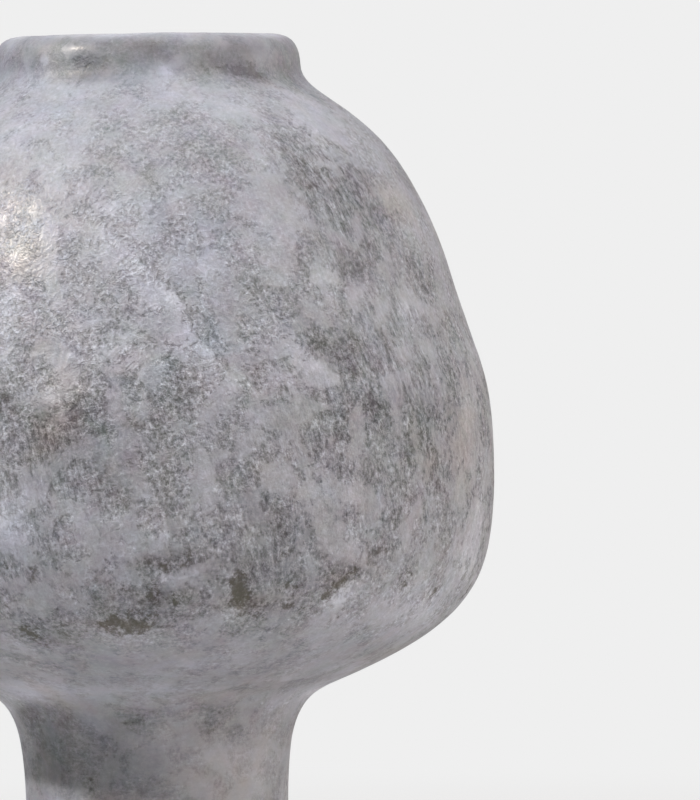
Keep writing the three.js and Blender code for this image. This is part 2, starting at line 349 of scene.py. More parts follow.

# %% [markdown]
# ## Where the trowel and the wear went
# The marks are placed by where they are round the vase, in degrees from the front, positive to the
# right, and how high they are above the table. Worn patches show the darker ground, and two on the
# collar's right darken the band under its roll, partly as painted shadow. Veils are thin light films that
# the trowel closed over the grain. Shades are soft patches that make the plaster lighter or, with a
# minus, darker: partly the plaster's own tone, partly painted light and shadow. Streaks are where the
# trowel was drawn steeply and pulled the grain along. Stains are warm where iron in the ground came
# through, and cool, with a minus, where lime bloomed; a weak warm one under the glint on the left is
# painted warmth of the highlight. Waxed places were polished more than the rest. All of them are ovals
# here, and noise makes the edges of worn patches and veils ragged later.
#
# Each oval was picked on the picture. Its pixels were then changed into degrees and millimetres on
# the vase, so the numbers aren't round. The strengths of most shades follow from how much lighter or
# darker the picture was there than a render without them.

# %% Place the marks that the picture shows
# Each mark: degrees, height, half length, half width, turn in degrees from level, strength.
WORN = [
    (36, 280.1, 6.4, 4.3, 86, 0.8), (38, 270, 7.4, 5.6, -62, 0.85), (41, 281.8, 4.4, 2.3, 18, 0.6),
    (35, 287.5, 6.9, 3.7, 79, 0.5), (37, 255.1, 11.6, 2.9, -86, 0.7), (42, 250.2, 9.6, 4.3, -63, 0.6),
    (60, 267, 12.1, 4.8, 78, 0.75), (56, 251.1, 15.6, 8.7, -70, 0.65), (43, 232.7, 10.3, 5, 4, 0.95),
    (50, 238.9, 4.9, 4.2, -51, 0.9), (62, 235, 9, 4.7, -2, 0.8), (64, 224.9, 8.2, 5.3, -3, 0.7),
    (32, 235.9, 10.3, 3, 77, 0.65), (38, 225.4, 4.4, 2.9, -65, 0.7), (31, 207, 7.8, 4.7, -26, 0.65),
    (37, 196, 7.6, 4.2, 86, 0.85), (41, 205.6, 13.9, 4.7, 2, 0.5), (43, 197.4, 9.3, 5.7, 9, 0.5),
    (32, 187.3, 4.4, 3, 5, 0.7), (35, 185, 4.1, 3.3, 13, 0.8), (-24, 263.9, 4.9, 3.9, -35, 0.7),
    (-14, 234.1, 9.3, 3, -86, 0.5), (2, 237.4, 4.1, 3.1, 0, 0.6), (-23, 214, 12.2, 7.8, -6, 0.45),
    (-21, 197.2, 9.9, 5, -3, 0.5), (-25, 185.5, 7.4, 4.5, -3, 0.8), (-11, 185.1, 8.3, 3, -1, 0.6),
    (6, 190.2, 11.4, 4.8, 88, 0.6), (-6, 287.5, 5.9, 4.4, -78, 0.5), (12, 288.7, 7.6, 6.4, 52, 0.5),
    (12, 276, 19.1, 12.3, 4, 0.38), (19, 262.9, 4.7, 2.3, 77, 0.6), (-6, 250.5, 3.7, 3.2, -8, 0.5),
    (25, 216.4, 8.1, 4.8, -55, 0.45), (-22, 308.8, 8.8, 3, -1, 0.9), (-35, 313, 4.6, 3, -9, 0.55),
    (-13, 313.5, 3.5, 3.1, -17, 0.5), (-69, 310.3, 12.8, 4.5, -2, 0.6), (5, 316.2, 5.6, 3.7, 1, 0.5),
    # The marks at 41 and 69 degrees, 305 mm high, darken the band under the collar's roll on the right:
    # partly darker plaster, partly painted shadow.
    (41, 305.4, 23.1, 3.6, 0, 0.9), (69, 305.9, 16.8, 5.4, 5, 0.6), (-15, 173.8, 17.4, 6.4, 23, 0.3),
    (-8, 178.8, 5.6, 4.5, -2, 0.5), (34, 176.1, 11.9, 2.7, 85, 0.8), (41, 181.9, 9.5, 4.9, 79, 0.9),
    (42, 167.7, 10, 4.1, 0, 0.5), (43, 156.6, 10.1, 5.9, -1, 0.5), (48, 165.4, 17.1, 2.8, 87, 0.85),
    (53, 169.4, 10.4, 3.9, -52, 0.65), (56, 156.4, 8.5, 3.8, -70, 0.75), (66, 156.2, 12.9, 4.5, -77, 0.5),
    (45, 141, 8.2, 3.2, -85, 0.7), (29, 168.1, 3.7, 3, 86, 0.5), (35, 156.8, 5.9, 2.3, 89, 0.4),
    (1, 176.3, 5.2, 3, -1, 0.5), (6, 173.5, 4.1, 2.2, -1, 0.5), (4, 146.6, 3.7, 2.2, -1, 0.6),
    (7, 129.8, 3.8, 3.7, -59, 0.75), (3, 126.2, 7.4, 3.5, -1, 0.7), (14, 138.1, 11.9, 5.3, -89, 0.45),
    (23, 134.9, 7.5, 4.8, -85, 0.65), (-4, 117.9, 4.5, 4.1, 8, 0.6), (1, 116.3, 8.4, 3, 90, 0.8),
    (-4, 105.7, 14.9, 8.3, 0, 0.95), (5, 113.2, 6.6, 1.9, -88, 0.7), (-23, 102.8, 6.5, 4.8, 40, 0.85),
    (-21, 97.9, 5.2, 3.8, 44, 0.6), (-16, 106.3, 7.9, 2, 89, 0.5), (-24, 127, 4.9, 3.4, 6, 0.7),
    (-19, 125, 4.3, 2.3, 81, 0.6), (-27, 113.3, 5.7, 4.2, 21, 0.65), (16, 115.9, 11.1, 4.6, -81, 0.98),
    (19, 109.1, 5.7, 4.1, -17, 0.8), (25, 119.3, 4.3, 3.5, -26, 0.8), (27, 111.9, 14.2, 3.6, -2, 0.55),
    (34, 116.9, 9.1, 3.9, 36, 0.85), (37, 122.7, 4.3, 3, -16, 0.9), (42, 130.7, 6.1, 4.4, -13, 0.6),
    (50, 119.5, 7.6, 4.7, -76, 0.7), (60, 115.7, 8.8, 5.2, -68, 0.6), (48, 99.3, 9.3, 3.7, -36, 0.4),
    (17, 94.1, 4.6, 2.9, -64, 0.4), (-23, 89.7, 8.6, 2.6, 67, 0.5), (21, 88.5, 4.7, 3.1, -49, 0.4),
    (-4, 68.6, 7.8, 4.2, 0, 0.8), (23, 66.8, 5.7, 3.6, -76, 0.85), (37, 62.5, 4.7, 3, -9, 0.85),
    (27, 71.1, 8.4, 2.2, -2, 0.55), (-34, 68.6, 9.8, 2.4, -27, 0.4), (-55, 68.7, 9.1, 3.9, 10, 0.6),
    (5, 226.9, 2.6, 1.5, -49, 0.8), (7, 223.1, 3.4, 1.5, -64, 0.8), (8, 216.4, 3, 1.5, -65, 0.8),
    (10, 210.8, 3, 1.6, -55, 0.7),
]
VEILS = [
    (6, 220.6, 8.3, 3.1, -54, 0.6), (8, 210.1, 6, 2.7, -60, 0.6), (-36, 282.5, 21.8, 12.8, -39, 0.6),
    (-31, 299, 19.5, 5.2, -3, 0.6), (11, 307.3, 7.6, 2.2, 29, 0.7), (-40, 310.1, 2.5, 2.2, -21, 1),
    (-30, 313.7, 4.1, 3.3, -61, 0.8), (-22, 316.2, 6.4, 1.8, -2, 0.6), (54, 288, 18.3, 10.4, 17, 0.7),
    (23, 290.7, 7.5, 5.4, 37, 0.6), (-8, 255, 6, 4.9, -8, 0.5), (12, 234.5, 9.3, 3.4, 85, 0.8),
    (26, 234.9, 9.5, 6.8, 72, 0.7), (25, 247.9, 8.3, 5.9, 10, 0.6), (36, 229.1, 9.1, 4.2, 3, 0.7),
    (4, 214, 11.3, 7, -45, 0.5), (0, 226.3, 9.1, 3.8, -48, 0.5), (14, 192.6, 9.9, 6.9, 2, 0.45),
    (26, 203, 8.3, 4.7, 3, 0.6), (30, 194.7, 10.2, 5.8, -26, 0.7), (19, 180.2, 8.7, 6.7, 3, 0.6),
    (13, 166.7, 2.3, 1.9, 0, 1), (22, 157.1, 6.4, 5.6, -1, 0.85), (10, 155.6, 12.6, 4.1, 89, 0.55),
    (30, 145.8, 16.1, 8.3, -64, 0.7), (8, 125.3, 9.6, 3.2, 21, 0.7), (10, 126, 5.3, 2.3, 63, 0.6),
    (-23, 139.9, 16.1, 9.7, 1, 0.35), (-21, 271.2, 16.4, 8.7, 78, 0.4), (23, 298.2, 24.2, 4.3, -1, 0.5),
    (68, 171, 29.5, 15.3, 67, 0.7), (72, 134, 17.7, 16.6, 12, 0.6), (60, 258.5, 9.6, 8.3, -81, 0.6),
]
# Patches of painted light and shadow mixed with the plaster's own tone. The dark one at -42 degrees, 56 mm
# high is a painted shadow of the belly on the foot. The light ones at -23 to -26 degrees, 208 to 253 mm
# high lighten the plaster under the glint on the left: painted highlight. Light ones low on the right, near
# 78 mm high, are painted light where the floor's bounce falls on the underside.
PAINTED_LIGHT_AND_TONE = [
    (-16, 174.9, 22.9, 10.5, 18, -0.17), (-25, 186.3, 8.3, 7.4, -20, -0.12),
    (-8, 169.1, 15, 9.3, -1, -0.1), (-9, 182.1, 7.6, 7.4, -42, -0.07), (-42, 56.4, 26.2, 16.8, 6, -0.25),
    (-61, 67.7, 25.7, 5.7, 2, -0.08), (-18, 306.9, 13.7, 4.6, -1, -0.17),
    (-7, 315.6, 18.8, 2.6, -1, -0.13), (67, 307.1, 12.2, 5.6, 7, -0.08),
    (-56, 310.3, 13.5, 5.6, -2, -0.07), (6, 192.8, 16.8, 9.5, 0, -0.1), (39, 203.1, 11.9, 4.7, 2, -0.12),
    (39, 180.8, 14.4, 5.6, 1, -0.1), (11, 283.5, 16.4, 9.3, 78, -0.08), (18, 274.1, 8.1, 6.6, 25, -0.07),
    (38, 266.2, 11, 5.6, 33, -0.08), (47, 257.9, 16.5, 4.1, 1, -0.07), (57, 251.1, 11, 5.6, 14, -0.07),
    (16, 124, 19.3, 5.8, -1, -0.08), (-22, 102.8, 10.7, 7.8, 25, -0.12), (1, 109.6, 18.5, 5.6, -1, -0.07),
    (3, 128.1, 11.1, 3.8, -1, -0.1), (-4, 70.8, 9.3, 4.5, 0, -0.07), (0, 241.1, 17.5, 10.5, -64, 0.15),
    (13, 238.9, 9.8, 7.5, 79, 0.15), (-6, 256.1, 11.2, 6.1, -2, 0.1), (-26, 252.8, 19, 12, -9, 0.14),
    (30, 277.5, 15.9, 7.1, 63, 0.15), (50, 275.4, 14.6, 11.6, -11, 0.15), (66, 267.7, 16, 12, -42, 0.07),
    (35, 225.4, 14, 6.1, 74, 0.18), (32, 249.6, 13.3, 7.9, 7, 0.07), (53, 217.7, 24.3, 15.7, 25, 0.12),
    (54, 108.4, 27.5, 17.1, -8, 0.18), (34, 108.8, 12.9, 8.4, -29, 0.12), (60, 123, 14.6, 10.7, 5, 0.08),
    (26, 194.1, 8.3, 5.7, 6, 0.1), (19, 172, 7.8, 5.6, 1, 0.1), (10, 155.6, 7.4, 5.7, 90, 0.08),
    (28, 153.3, 11.1, 7.5, -90, 0.08), (35, 154.9, 11.3, 5.6, -1, 0.07), (41, 140, 7.4, 5.6, -7, 0.1),
    (1, 139.2, 7.4, 5.6, -1, 0.08), (-23, 147.3, 13, 10, 86, 0.14), (-25, 79.6, 41.4, 9, -1, 0.12),
    (4, 83.6, 13.5, 11, -76, 0.1), (44, 48.1, 24.3, 18.5, -7, 0.12), (85, 78.4, 30.9, 15.1, 9, 0.07),
    (-32, 295.3, 27.9, 12.2, -9, 0.07), (19, 293.8, 9.6, 5.2, 67, 0.1),
    (-22, 314.4, 28.5, 4.8, -1, -0.12), (7, 313.2, 22.5, 4.7, -1, -0.13),
    (30, 311.1, 17.3, 5.3, 0, -0.15), (42, 303.2, 10.2, 3.6, 4, -0.15),
    (-18, 303.9, 15.6, 2.6, -1, -0.15), (25, 288.8, 13.7, 9.7, 30, 0.1), (-20, 287, 18.1, 7.9, -5, 0.1),
    (-14, 267.4, 8.8, 5.3, -79, 0.07), (68, 278.9, 16.6, 10.9, 24, 0.1), (74, 247.2, 43, 5.2, 5, 0.1),
    (70, 219.3, 37.4, 4.5, 5, 0.12), (-22, 256.4, 14.1, 4.9, -2, -0.1), (3, 211.4, 8.4, 5.7, 43, -0.1),
    (-2, 236.7, 4.7, 3, -90, 0.07), (8, 212.4, 5.4, 2.7, 31, 0.08), (-7, 189.5, 16.8, 9.5, -1, -0.07),
    (-5, 157.9, 9.3, 7.4, -1, -0.08), (38, 203.1, 18.8, 7.8, 2, -0.07), (36, 173.4, 18.4, 4.5, 0, -0.08),
    (23, 179.3, 5.7, 5.2, 15, -0.07), (25, 143, 14.4, 8.2, -2, -0.09), (36, 123.5, 7.4, 3.1, -3, -0.08),
    (19, 112.8, 7.4, 5.9, -25, -0.07), (18, 129.5, 8.6, 3.8, -2, -0.07), (4, 129.9, 5.2, 3.4, -1, -0.1),
    (6, 122.4, 6, 2.4, -1, 0.08), (36, 112.4, 6.9, 4.2, 29, 0.13), (-26, 89.8, 17, 9.3, 10, -0.05),
    (-23, 187, 7.3, 5.3, -6, -0.08), (69, 124.8, 13.4, 10.9, -21, 0.09), (63, 108.3, 13, 8.1, -15, 0.07),
    (85, 78.4, 29.8, 8.6, 3, 0.1), (-31, 80.5, 26, 7.4, 1, 0.07), (-88, 60.3, 17.6, 3.1, 19, 0.07),
    (37, 62.9, 4.2, 3.4, -48, -0.08), (23, 72.3, 8.2, 3.8, -5, -0.07), (-56, 50.9, 9.5, 5.2, 4, -0.07),
    (64, 53.5, 34.6, 3, 0, 0.07), (-27, 243.6, 7.5, 3.9, -4, 0.05), (-39, 304.2, 4.8, 3, -54, 0.18),
    (8, 305.1, 5.3, 2.4, -51, 0.13), (16, 311.3, 7.7, 3.8, 0, 0.08), (-17, 236.7, 7.8, 3.9, -83, 0.07),
    (-15, 267.4, 8.8, 5.3, -78, 0.06), (-20, 205.7, 6.7, 5.9, -40, -0.09),
    (-6, 195, 8.4, 7.4, -84, -0.07), (-14, 186, 6.1, 3.8, -2, 0.1), (6, 180.6, 6, 5.9, 52, -0.06),
    (14, 177.7, 9.3, 5.3, 87, -0.06), (29, 173.6, 9.4, 5.2, 0, 0.08), (22, 183.1, 5.7, 5.2, 20, -0.04),
    (44, 184.4, 11.3, 6, 3, -0.06), (54, 173.1, 10.2, 5.9, 3, -0.05), (5, 211.3, 6.2, 3.8, 47, -0.06),
    (8, 213.9, 5.4, 2.3, 31, 0.08), (-1, 236.3, 6, 3.1, 42, 0.06), (21, 240.6, 12, 8.6, 74, 0.06),
    (28, 229.3, 7.5, 3.1, 1, 0.05), (54, 268.6, 9.3, 7.2, 6, -0.08), (64, 265.9, 9.3, 8, -66, 0.06),
    (69, 237.9, 55, 3.7, 4, 0.06), (69, 202.6, 45.1, 3.2, -2, 0.07), (28, 127.4, 5.4, 3.3, -79, 0.08),
    (36, 137.5, 5.3, 3.7, -81, 0.1), (6, 122.1, 7.5, 2.4, -1, 0.06), (4, 115.8, 6.7, 2.5, -1, -0.06),
    (19, 112.8, 5.6, 4.4, -57, -0.06), (36, 113.9, 7.7, 4.1, 29, 0.1), (-3, 101.6, 8.9, 4.1, -1, 0.06),
    (-17, 95.2, 11.7, 9.1, 29, -0.06), (-28, 98.4, 7.4, 5.1, -74, 0.06), (57, 106.5, 28.6, 11, -24, 0.06),
    (72, 124.7, 15.2, 9.2, -9, 0.1), (74, 152.4, 11.7, 7.6, 64, 0.07), (88, 77.7, 23.4, 7.8, 7, 0.08),
    (65, 70.1, 17.3, 3, -12, 0.07), (-39, 79.8, 24.4, 7.2, 3, 0.06), (-2, 70.8, 5.9, 4, 0, -0.06),
    (0, 46.7, 9.3, 5.2, 89, -0.06), (-76, 71.5, 24.3, 3.8, 13, 0.1), (-72, 60.3, 23.3, 2.2, 5, 0.06),
    (-22, 145.5, 12, 7.4, 0, 0.07), (-24, 171.4, 4.1, 3.7, -7, -0.06), (-24, 186.2, 6.5, 4.5, -5, -0.06),
    (10, 294.7, 15, 3.3, -1, 0.04), (-13, 189.6, 9.1, 5.3, -2, 0.11), (-28, 252.9, 12.6, 8.1, -70, -0.02),
    (-7, 224.6, 11.7, 9.3, -85, -0.05), (6, 207.6, 5.4, 3.7, 47, -0.06), (78, 183.9, 39.6, 7.3, 33, -0.1),
    (68, 110, 19, 10.5, -25, 0.07), (36, 116.1, 8.6, 3.5, 29, 0.11), (4, 122.5, 10.4, 2, -1, 0.08),
    (4, 115.8, 5.9, 2.1, -1, -0.07), (28, 128.1, 6.2, 3.3, -81, 0.07), (21, 125.7, 8, 2.7, -2, 0.06),
    (15, 107.4, 7.1, 4.5, -73, 0.06), (36, 137.5, 4.5, 3.6, -76, 0.06), (29, 174.7, 6, 3.7, 1, 0.07),
    (-4, 161.6, 11.1, 9.3, -1, -0.04), (56, 108.4, 31.4, 12.5, -15, 0.03),
    (-12, 111.8, 8.2, 3.7, 81, 0.06), (-2, 100.4, 8.2, 3.6, -1, 0.06), (-27, 98.4, 7.3, 4.5, -67, 0.06),
    (88, 76.2, 28, 6.1, 6, 0.07), (-51, 76.9, 18.5, 4.4, 3, 0.06), (-88, 60.3, 20.2, 2.3, 8, 0.08),
    (58, 48, 10, 7.4, -8, 0.05), (-26, 219.6, 6.7, 5.3, -17, 0.06), (4, 281.8, 7.4, 5.2, 1, 0.05),
    (35, 279.3, 5.4, 4.6, -84, -0.06), (18, 209.1, 5.6, 4.6, 70, 0.06), (-20, 130.6, 4, 3.7, 30, 0.05),
    (-8, 145.1, 7.5, 3.7, -1, 0.04), (-41, 304.6, 4.6, 3.2, -36, -0.1), (-15, 301.7, 11.6, 3, -2, -0.06),
    (-10, 313.5, 7.5, 2.3, -1, 0.06), (16, 311.3, 6.2, 2.6, 0, 0.07), (-17, 235.3, 6.2, 3.1, -3, 0.06),
    (-31, 252.9, 10.6, 8, -54, -0.02), (-17, 182.4, 5.4, 3.7, -3, -0.08),
    (-12, 180.4, 8.3, 3.7, -1, 0.07), (50, 232.6, 8.3, 4.5, 9, -0.06), (4, 201.4, 5.2, 4.7, 4, -0.06),
    (70, 84.6, 26.8, 9.3, -4, 0.05), (63, 75.6, 21.4, 4.5, 5, 0.06), (-45, 82.5, 16.6, 6, 8, 0.06),
    (-77, 73.3, 25.8, 4, 11, 0.1), (-55, 73.2, 14.8, 4, 4, -0.09), (-26, 63.6, 12.5, 7.7, 4, 0.04),
    (31, 145.8, 6.7, 6, -80, -0.06), (48, 180.6, 14, 9.3, 6, -0.06), (62, 161.8, 11, 4.4, 0, 0.06),
    (69, 135.8, 14.7, 7.4, -2, 0.05), (21, 129.4, 10.3, 2.7, -1, 0.05), (-24, 128.1, 7.3, 2.7, 0, -0.06),
    (-11, 113.6, 7.9, 3.7, 82, 0.05), (-18, 110.1, 10.2, 5.6, 4, -0.05), (-7, 91.3, 9, 5.4, 1, -0.06),
    (52, 269.7, 8.9, 7.9, -6, -0.05), (46, 288.5, 9.3, 7.6, 68, 0.06), (61, 314.5, 18, 3.6, 1, -0.06),
    (46, 303.1, 9.8, 3.1, 3, -0.07), (-38, 304.9, 4.5, 3.1, -20, -0.07),
    (-23, 263.5, 6.2, 4.6, -63, -0.1), (-18, 233, 5.1, 3.5, -5, 0.06), (-26, 221.4, 8.2, 6.1, 67, 0.14),
    (-17, 182.3, 5.4, 3.7, -3, -0.09), (-13, 184.1, 3.5, 3.3, -34, 0.07), (6, 129.8, 10.4, 3, -1, -0.08),
    (3, 115.8, 7.4, 2.9, -1, -0.08), (21, 126.8, 7.2, 3.1, -2, 0.06), (-4, 100.8, 8.2, 4.1, 0, 0.07),
    (-27, 99.5, 7.4, 4.4, -87, 0.06), (36, 116.5, 7.8, 3.4, 29, 0.07), (20, 112.8, 6.3, 3.9, -38, -0.06),
    (55, 77.5, 21.1, 6.8, 8, 0.06), (58, 296.3, 10.5, 5.3, 4, 0.06), (64, 279.7, 8.1, 6.7, 22, 0.06),
    (29, 273.5, 4.7, 3.3, 46, 0.06), (52, 232.5, 7.5, 4.3, -5, -0.06), (19, 240.6, 8.2, 4.5, 29, 0.06),
    (27, 225.6, 5.9, 4.6, 13, 0.06), (29, 214.4, 11, 3.5, 0, -0.06), (-80, 71.5, 22.1, 3.7, 11, 0.08),
    (-55, 73.6, 11, 3, 5, -0.07), (16, 109.9, 5.3, 4.7, 58, 0.06), (4, 268.8, 5.3, 4.4, 83, -0.06),
    (-40, 310.1, 2.2, 1.9, 64, 0.11), (8, 306.6, 3.3, 1.5, -53, 0.11), (10, 296.9, 3.7, 1.9, -20, 0.09),
    (-13, 296.1, 3.3, 2, 17, 0.08), (51, 267.1, 7.7, 6, -40, -0.06), (67, 254.7, 10.6, 7.4, 5, 0.06),
    (65, 232.4, 9.5, 5.7, -2, -0.06), (-23, 221.3, 6.4, 4.8, -73, 0.13), (15, 183.3, 6.1, 5.2, 5, -0.07),
    (-26, 86, 14.3, 7.6, 8, 0.04), (-41, 39.7, 12.9, 3, 0, 0.07), (-3, 39.3, 8.9, 2.6, -1, 0.05),
    (63, 85.7, 16.1, 8, -3, 0.06), (58, 180.4, 13.4, 5.5, -4, -0.06), (62, 219.4, 10.6, 5.6, 18, -0.05),
    (16, 109.2, 4.9, 3.7, -65, 0.04), (5, 123.6, 16.4, 2.3, -1, 0.07), (53, 136.1, 12.7, 8, -85, 0.06),
    (42, 140, 6.7, 4, 80, 0.06), (73, 146.9, 10.7, 8.7, 16, 0.07), (36, 117.6, 7.1, 3.3, 27, 0.05),
    (60, 260.3, 9.7, 6.9, -39, -0.07), (43, 251.3, 10.9, 5.3, -24, 0.07), (45, 275.4, 7.6, 5.8, -7, 0.06),
    (52, 315.7, 14.8, 3.4, 2, -0.06), (17, 124, 11, 3.1, -85, -0.06), (-4, 158.7, 14.1, 4.5, -66, -0.05),
    (16, 212.9, 7.1, 5, 79, -0.06), (-34, 91.8, 10.6, 5.6, 15, -0.06), (-22, 141.7, 8.8, 5.2, 0, 0.06),
    (38, 179, 5.7, 4.4, 8, 0.06), (20, 138.7, 6.2, 3.4, -56, 0.05), (2, 195.5, 5.4, 3, 88, 0.06),
    (-11, 191.4, 9.8, 6.1, -2, 0.04), (-26, 208.5, 12, 8.8, -71, 0.13), (-25, 151.8, 8.2, 5.9, 0, 0.08),
    (2, 115.9, 6.7, 2.5, -1, -0.06), (31, 191, 7.8, 5.1, -34, -0.06), (36, 124.9, 7.4, 3.1, -3, -0.06),
]
STREAKS = [
    (43, 264.3, 41.6, 26.4, -76, 1), (51, 208.4, 34.3, 24.3, 82, 0.7), (57, 163.8, 29.8, 24, 81, 0.4),
    (41, 152.9, 22.7, 14.6, -72, 0.35), (26, 175.6, 18.5, 12.4, -83, 0.4),
    (-16, 154.5, 22.2, 15.4, 88, 0.6), (-22, 125.1, 16.1, 11.6, 7, 0.5), (20, 131.3, 15.2, 9.8, -84, 0.5),
]
STAINS = [
    (-14, 184.8, 14.8, 8.5, 61, 0.6), (-16, 173.1, 10.7, 6.7, 17, 0.4), (64, 256.5, 12.7, 8.3, -11, 0.6),
    (65, 167.4, 19, 11.9, 73, 0.5), (54, 162, 9.2, 7.1, 17, 0.4), (17, 112.9, 11.7, 4.4, -3, 0.5),
    (36, 122.7, 10.2, 5.3, 23, 0.4), (-5, 106, 14.9, 4.1, -1, 0.4), (72, 90, 18.4, 7.9, 0, 0.5),
    (28, 78.8, 18.8, 9.7, 19, 0.4), (33, 51.9, 22.7, 18.6, -9, 0.35), (-21, 39.5, 9.9, 3, -1, 0.5),
    # The weak warm stain at -24 degrees, 238 mm high lies under the glint on the left: painted warmth of
    # the highlight.
    (-50, 49, 17.6, 7.4, 1, 0.3), (-24, 238, 9, 6.2, -8, 0.3), (-51, 304.7, 21.9, 5.8, -3, -0.5),
    (-3, 303.7, 14.9, 5.3, -1, -0.5), (10, 242.7, 22.7, 19.6, 10, -0.3),
    (-23, 138.1, 14.1, 9.3, 2, -0.35), (11, 207.5, 8.7, 8.1, 60, -0.4), (4, 194.7, 7.4, 4.6, 0, -0.3),
]
WAXED = [
    (-25, 240.6, 12.4, 9.3, -12, 1), (-30, 256.6, 15.2, 8.1, -7, 0.8), (-21, 233.1, 8, 6.1, -10, 0.9),
    (-13, 193.3, 12.9, 4.6, -1, 0.55), (-17, 214.5, 11.6, 5.5, -2, 0.4), (-24, 314.6, 9, 3.5, -2, 0.22),
]
print("marks in front:", len(WORN), "worn,", len(VEILS), "veils,", len(PAINTED_LIGHT_AND_TONE), "shades,",
      len(STREAKS), "streaks,", len(STAINS), "stains,", len(WAXED), "waxed")

# %% [markdown]
# ## The sides that the picture doesn't show
# The rest of the vase was coated by the same hand, so it gets marks of the same sizes, more of them and
# darker in the band low on the belly. A seeded draw scatters them, so they are the same on every run. The
# patches of painted light and tone and the streaks stay in front, as clouds of tone are enough elsewhere.

# %% Scatter marks over the unseen sides
SEED = 41
UNSEEN_FROM, UNSEEN_TO = 78, 334
LOWEST_MARK, HIGHEST_MARK = 30, 310
ZONES = [
    # name, lowest and highest height, worn marks, veils, longest half length, strongest
    ("belly band", 97, 128, 62, 12, 15, 0.95),
    ("body", 128, 290, 96, 46, 15, 0.8),
    ("foot", 30, 72, 12, 6, 10, 0.8),
    ("collar", 303, 316, 10, 10, 12, 0.7),
]

SOFT_MARKS = [(STAINS, 34, -0.5, 0.6), (WAXED, 14, 0.2, 0.9)]

chance = random.Random(SEED)
for name, low, high, worn_count, veil_count, longest, strongest in ZONES:
    for entries, wanted in ((WORN, worn_count), (VEILS, veil_count)):
        for _ in range(wanted):
            half_length = chance.uniform(0.3, 1) * longest
            entries.append((
                chance.uniform(UNSEEN_FROM, UNSEEN_TO), chance.uniform(low, high), half_length,
                half_length * chance.uniform(0.25, 0.6), chance.choice((-70, -50, 0, 0, 60, 85)),
                chance.uniform(0.45, strongest)))
for entries, wanted, weakest, strongest in SOFT_MARKS:
    for _ in range(wanted):
        entries.append((
            chance.uniform(UNSEEN_FROM, UNSEEN_TO), chance.uniform(LOWEST_MARK, HIGHEST_MARK),
            chance.uniform(8, 20), chance.uniform(4, 9), chance.choice((-60, 0, 0, 40, 90)),
            chance.uniform(weakest, strongest)))
print("marks in all:", len(WORN), "worn,", len(VEILS), "veils,", len(STAINS), "stains,",
      len(WAXED), "waxed")

# %% [markdown]
# ## Laps
# A lap is the edge of a trowel stroke: the fresh plaster stands up sharply along one side of a line and
# feathers out behind it. Each lap is a line of places, with the fresh plaster on its left. Those in front
# were picked like the other marks, and the rest wander over the unseen sides.

# %% Place the laps
LAPS = [
    # (strength, how far it feathers out in mm, line of degrees and height)
    (1.0, 16, [(15.2, 197.3), (12.2, 202.3), (9.9, 208.6), (8.5, 215.3), (7.3, 221.7),
                (4.5, 227.7), (1.3, 233.3), (-2.1, 240.1)]),
    (0.7, 12, [(36.1, 181.2), (36.2, 187.2), (34.5, 194.2), (31.6, 200.6), (28.7, 206.6),
               (26.1, 213.4), (21.8, 219.4)]),
    (0.6, 9, [(19.9, 126.8), (18.6, 135.8), (16.4, 143.2), (15.2, 151.4), (13.0, 158.1)]),
    (0.5, 8, [(3.8, 128.8), (4.5, 138.4), (3.1, 147.3), (0.8, 154.8), (-0.6, 162.2)]),
    (0.5, 8, [(-7.5, 130.2), (-7.7, 139.5), (-9.8, 147.0), (-12.7, 152.2)]),
    (0.6, 8, [(41.3, 123.4), (38.9, 132.7), (39.0, 141.2), (36.8, 149.4), (37.6, 156.7)]),
    (0.5, 9, [(47.4, 181.7), (47.1, 192.9), (45.6, 202.9), (44.8, 213.0), (43.0, 220.4)]),
    (0.6, 9, [(14.7, 78.3), (22.6, 79.3), (28.5, 82.1), (31.3, 84.6)]),
    (0.6, 9, [(36, 81.5), (42.6, 82.3), (50.2, 82.9), (56.6, 87.2), (65.0, 90.7)]),
    (0.35, 7, [(27.3, 164.4), (28.8, 157.7), (30.5, 151.0), (32.3, 143.9), (33.5, 136.5)]),
    (0.6, 7, [(3.1, 123.9), (6.3, 122.3), (8.9, 123.4), (11.8, 128.8)]),
    (0.35, 6, [(-8.5, 201.7), (-7.7, 208.0), (-6.5, 213.5), (-4.3, 217.5)]),
]
UNSEEN_LAPS = 11
LAP_PLACES = 5
LAP_STRIDE = 8
LAP_STRIDE_DEGREES = 3.6

for _ in range(UNSEEN_LAPS):
    turn, height = chance.uniform(UNSEEN_FROM + 8, UNSEEN_TO - 20), chance.uniform(120, 275)
    heading = chance.uniform(-80, 80)
    line = [(turn, height)]
    for _ in range(LAP_PLACES):
        heading += chance.uniform(-25, 25)
        turn += LAP_STRIDE_DEGREES * math.cos(math.radians(heading))
        height += LAP_STRIDE * math.sin(math.radians(heading))
        line.append((turn, height))
    LAPS.append((chance.uniform(0.3, 0.9), chance.uniform(7, 16), line))
print("laps:", len(LAPS))

# %% [markdown]
# ## The coat's relief
# The grid's points move inwards only, so the vase keeps its size. Slow waves come from the hand that
# turned and coated it, then come the laps and the worn hollows. The coat thins out at its two hems. The
# marks are also kept as attributes on the mesh. They change slowly from point to point, so the material
# can cut them off sharply and ragged, far more finely than the grid.

# %% Read the coat's points
count = len(coat_mesh.vertices)
places = np.empty(count * 3)
coat_mesh.vertices.foreach_get("co", places)
places = places.reshape(-1, 3) / MM
normals = np.empty(count * 3)
coat_mesh.vertices.foreach_get("normal", normals)
normals = normals.reshape(-1, 3)
along = np.empty(count)
coat_mesh.attributes["along"].data.foreach_get("value", along)
outer = along >= 0

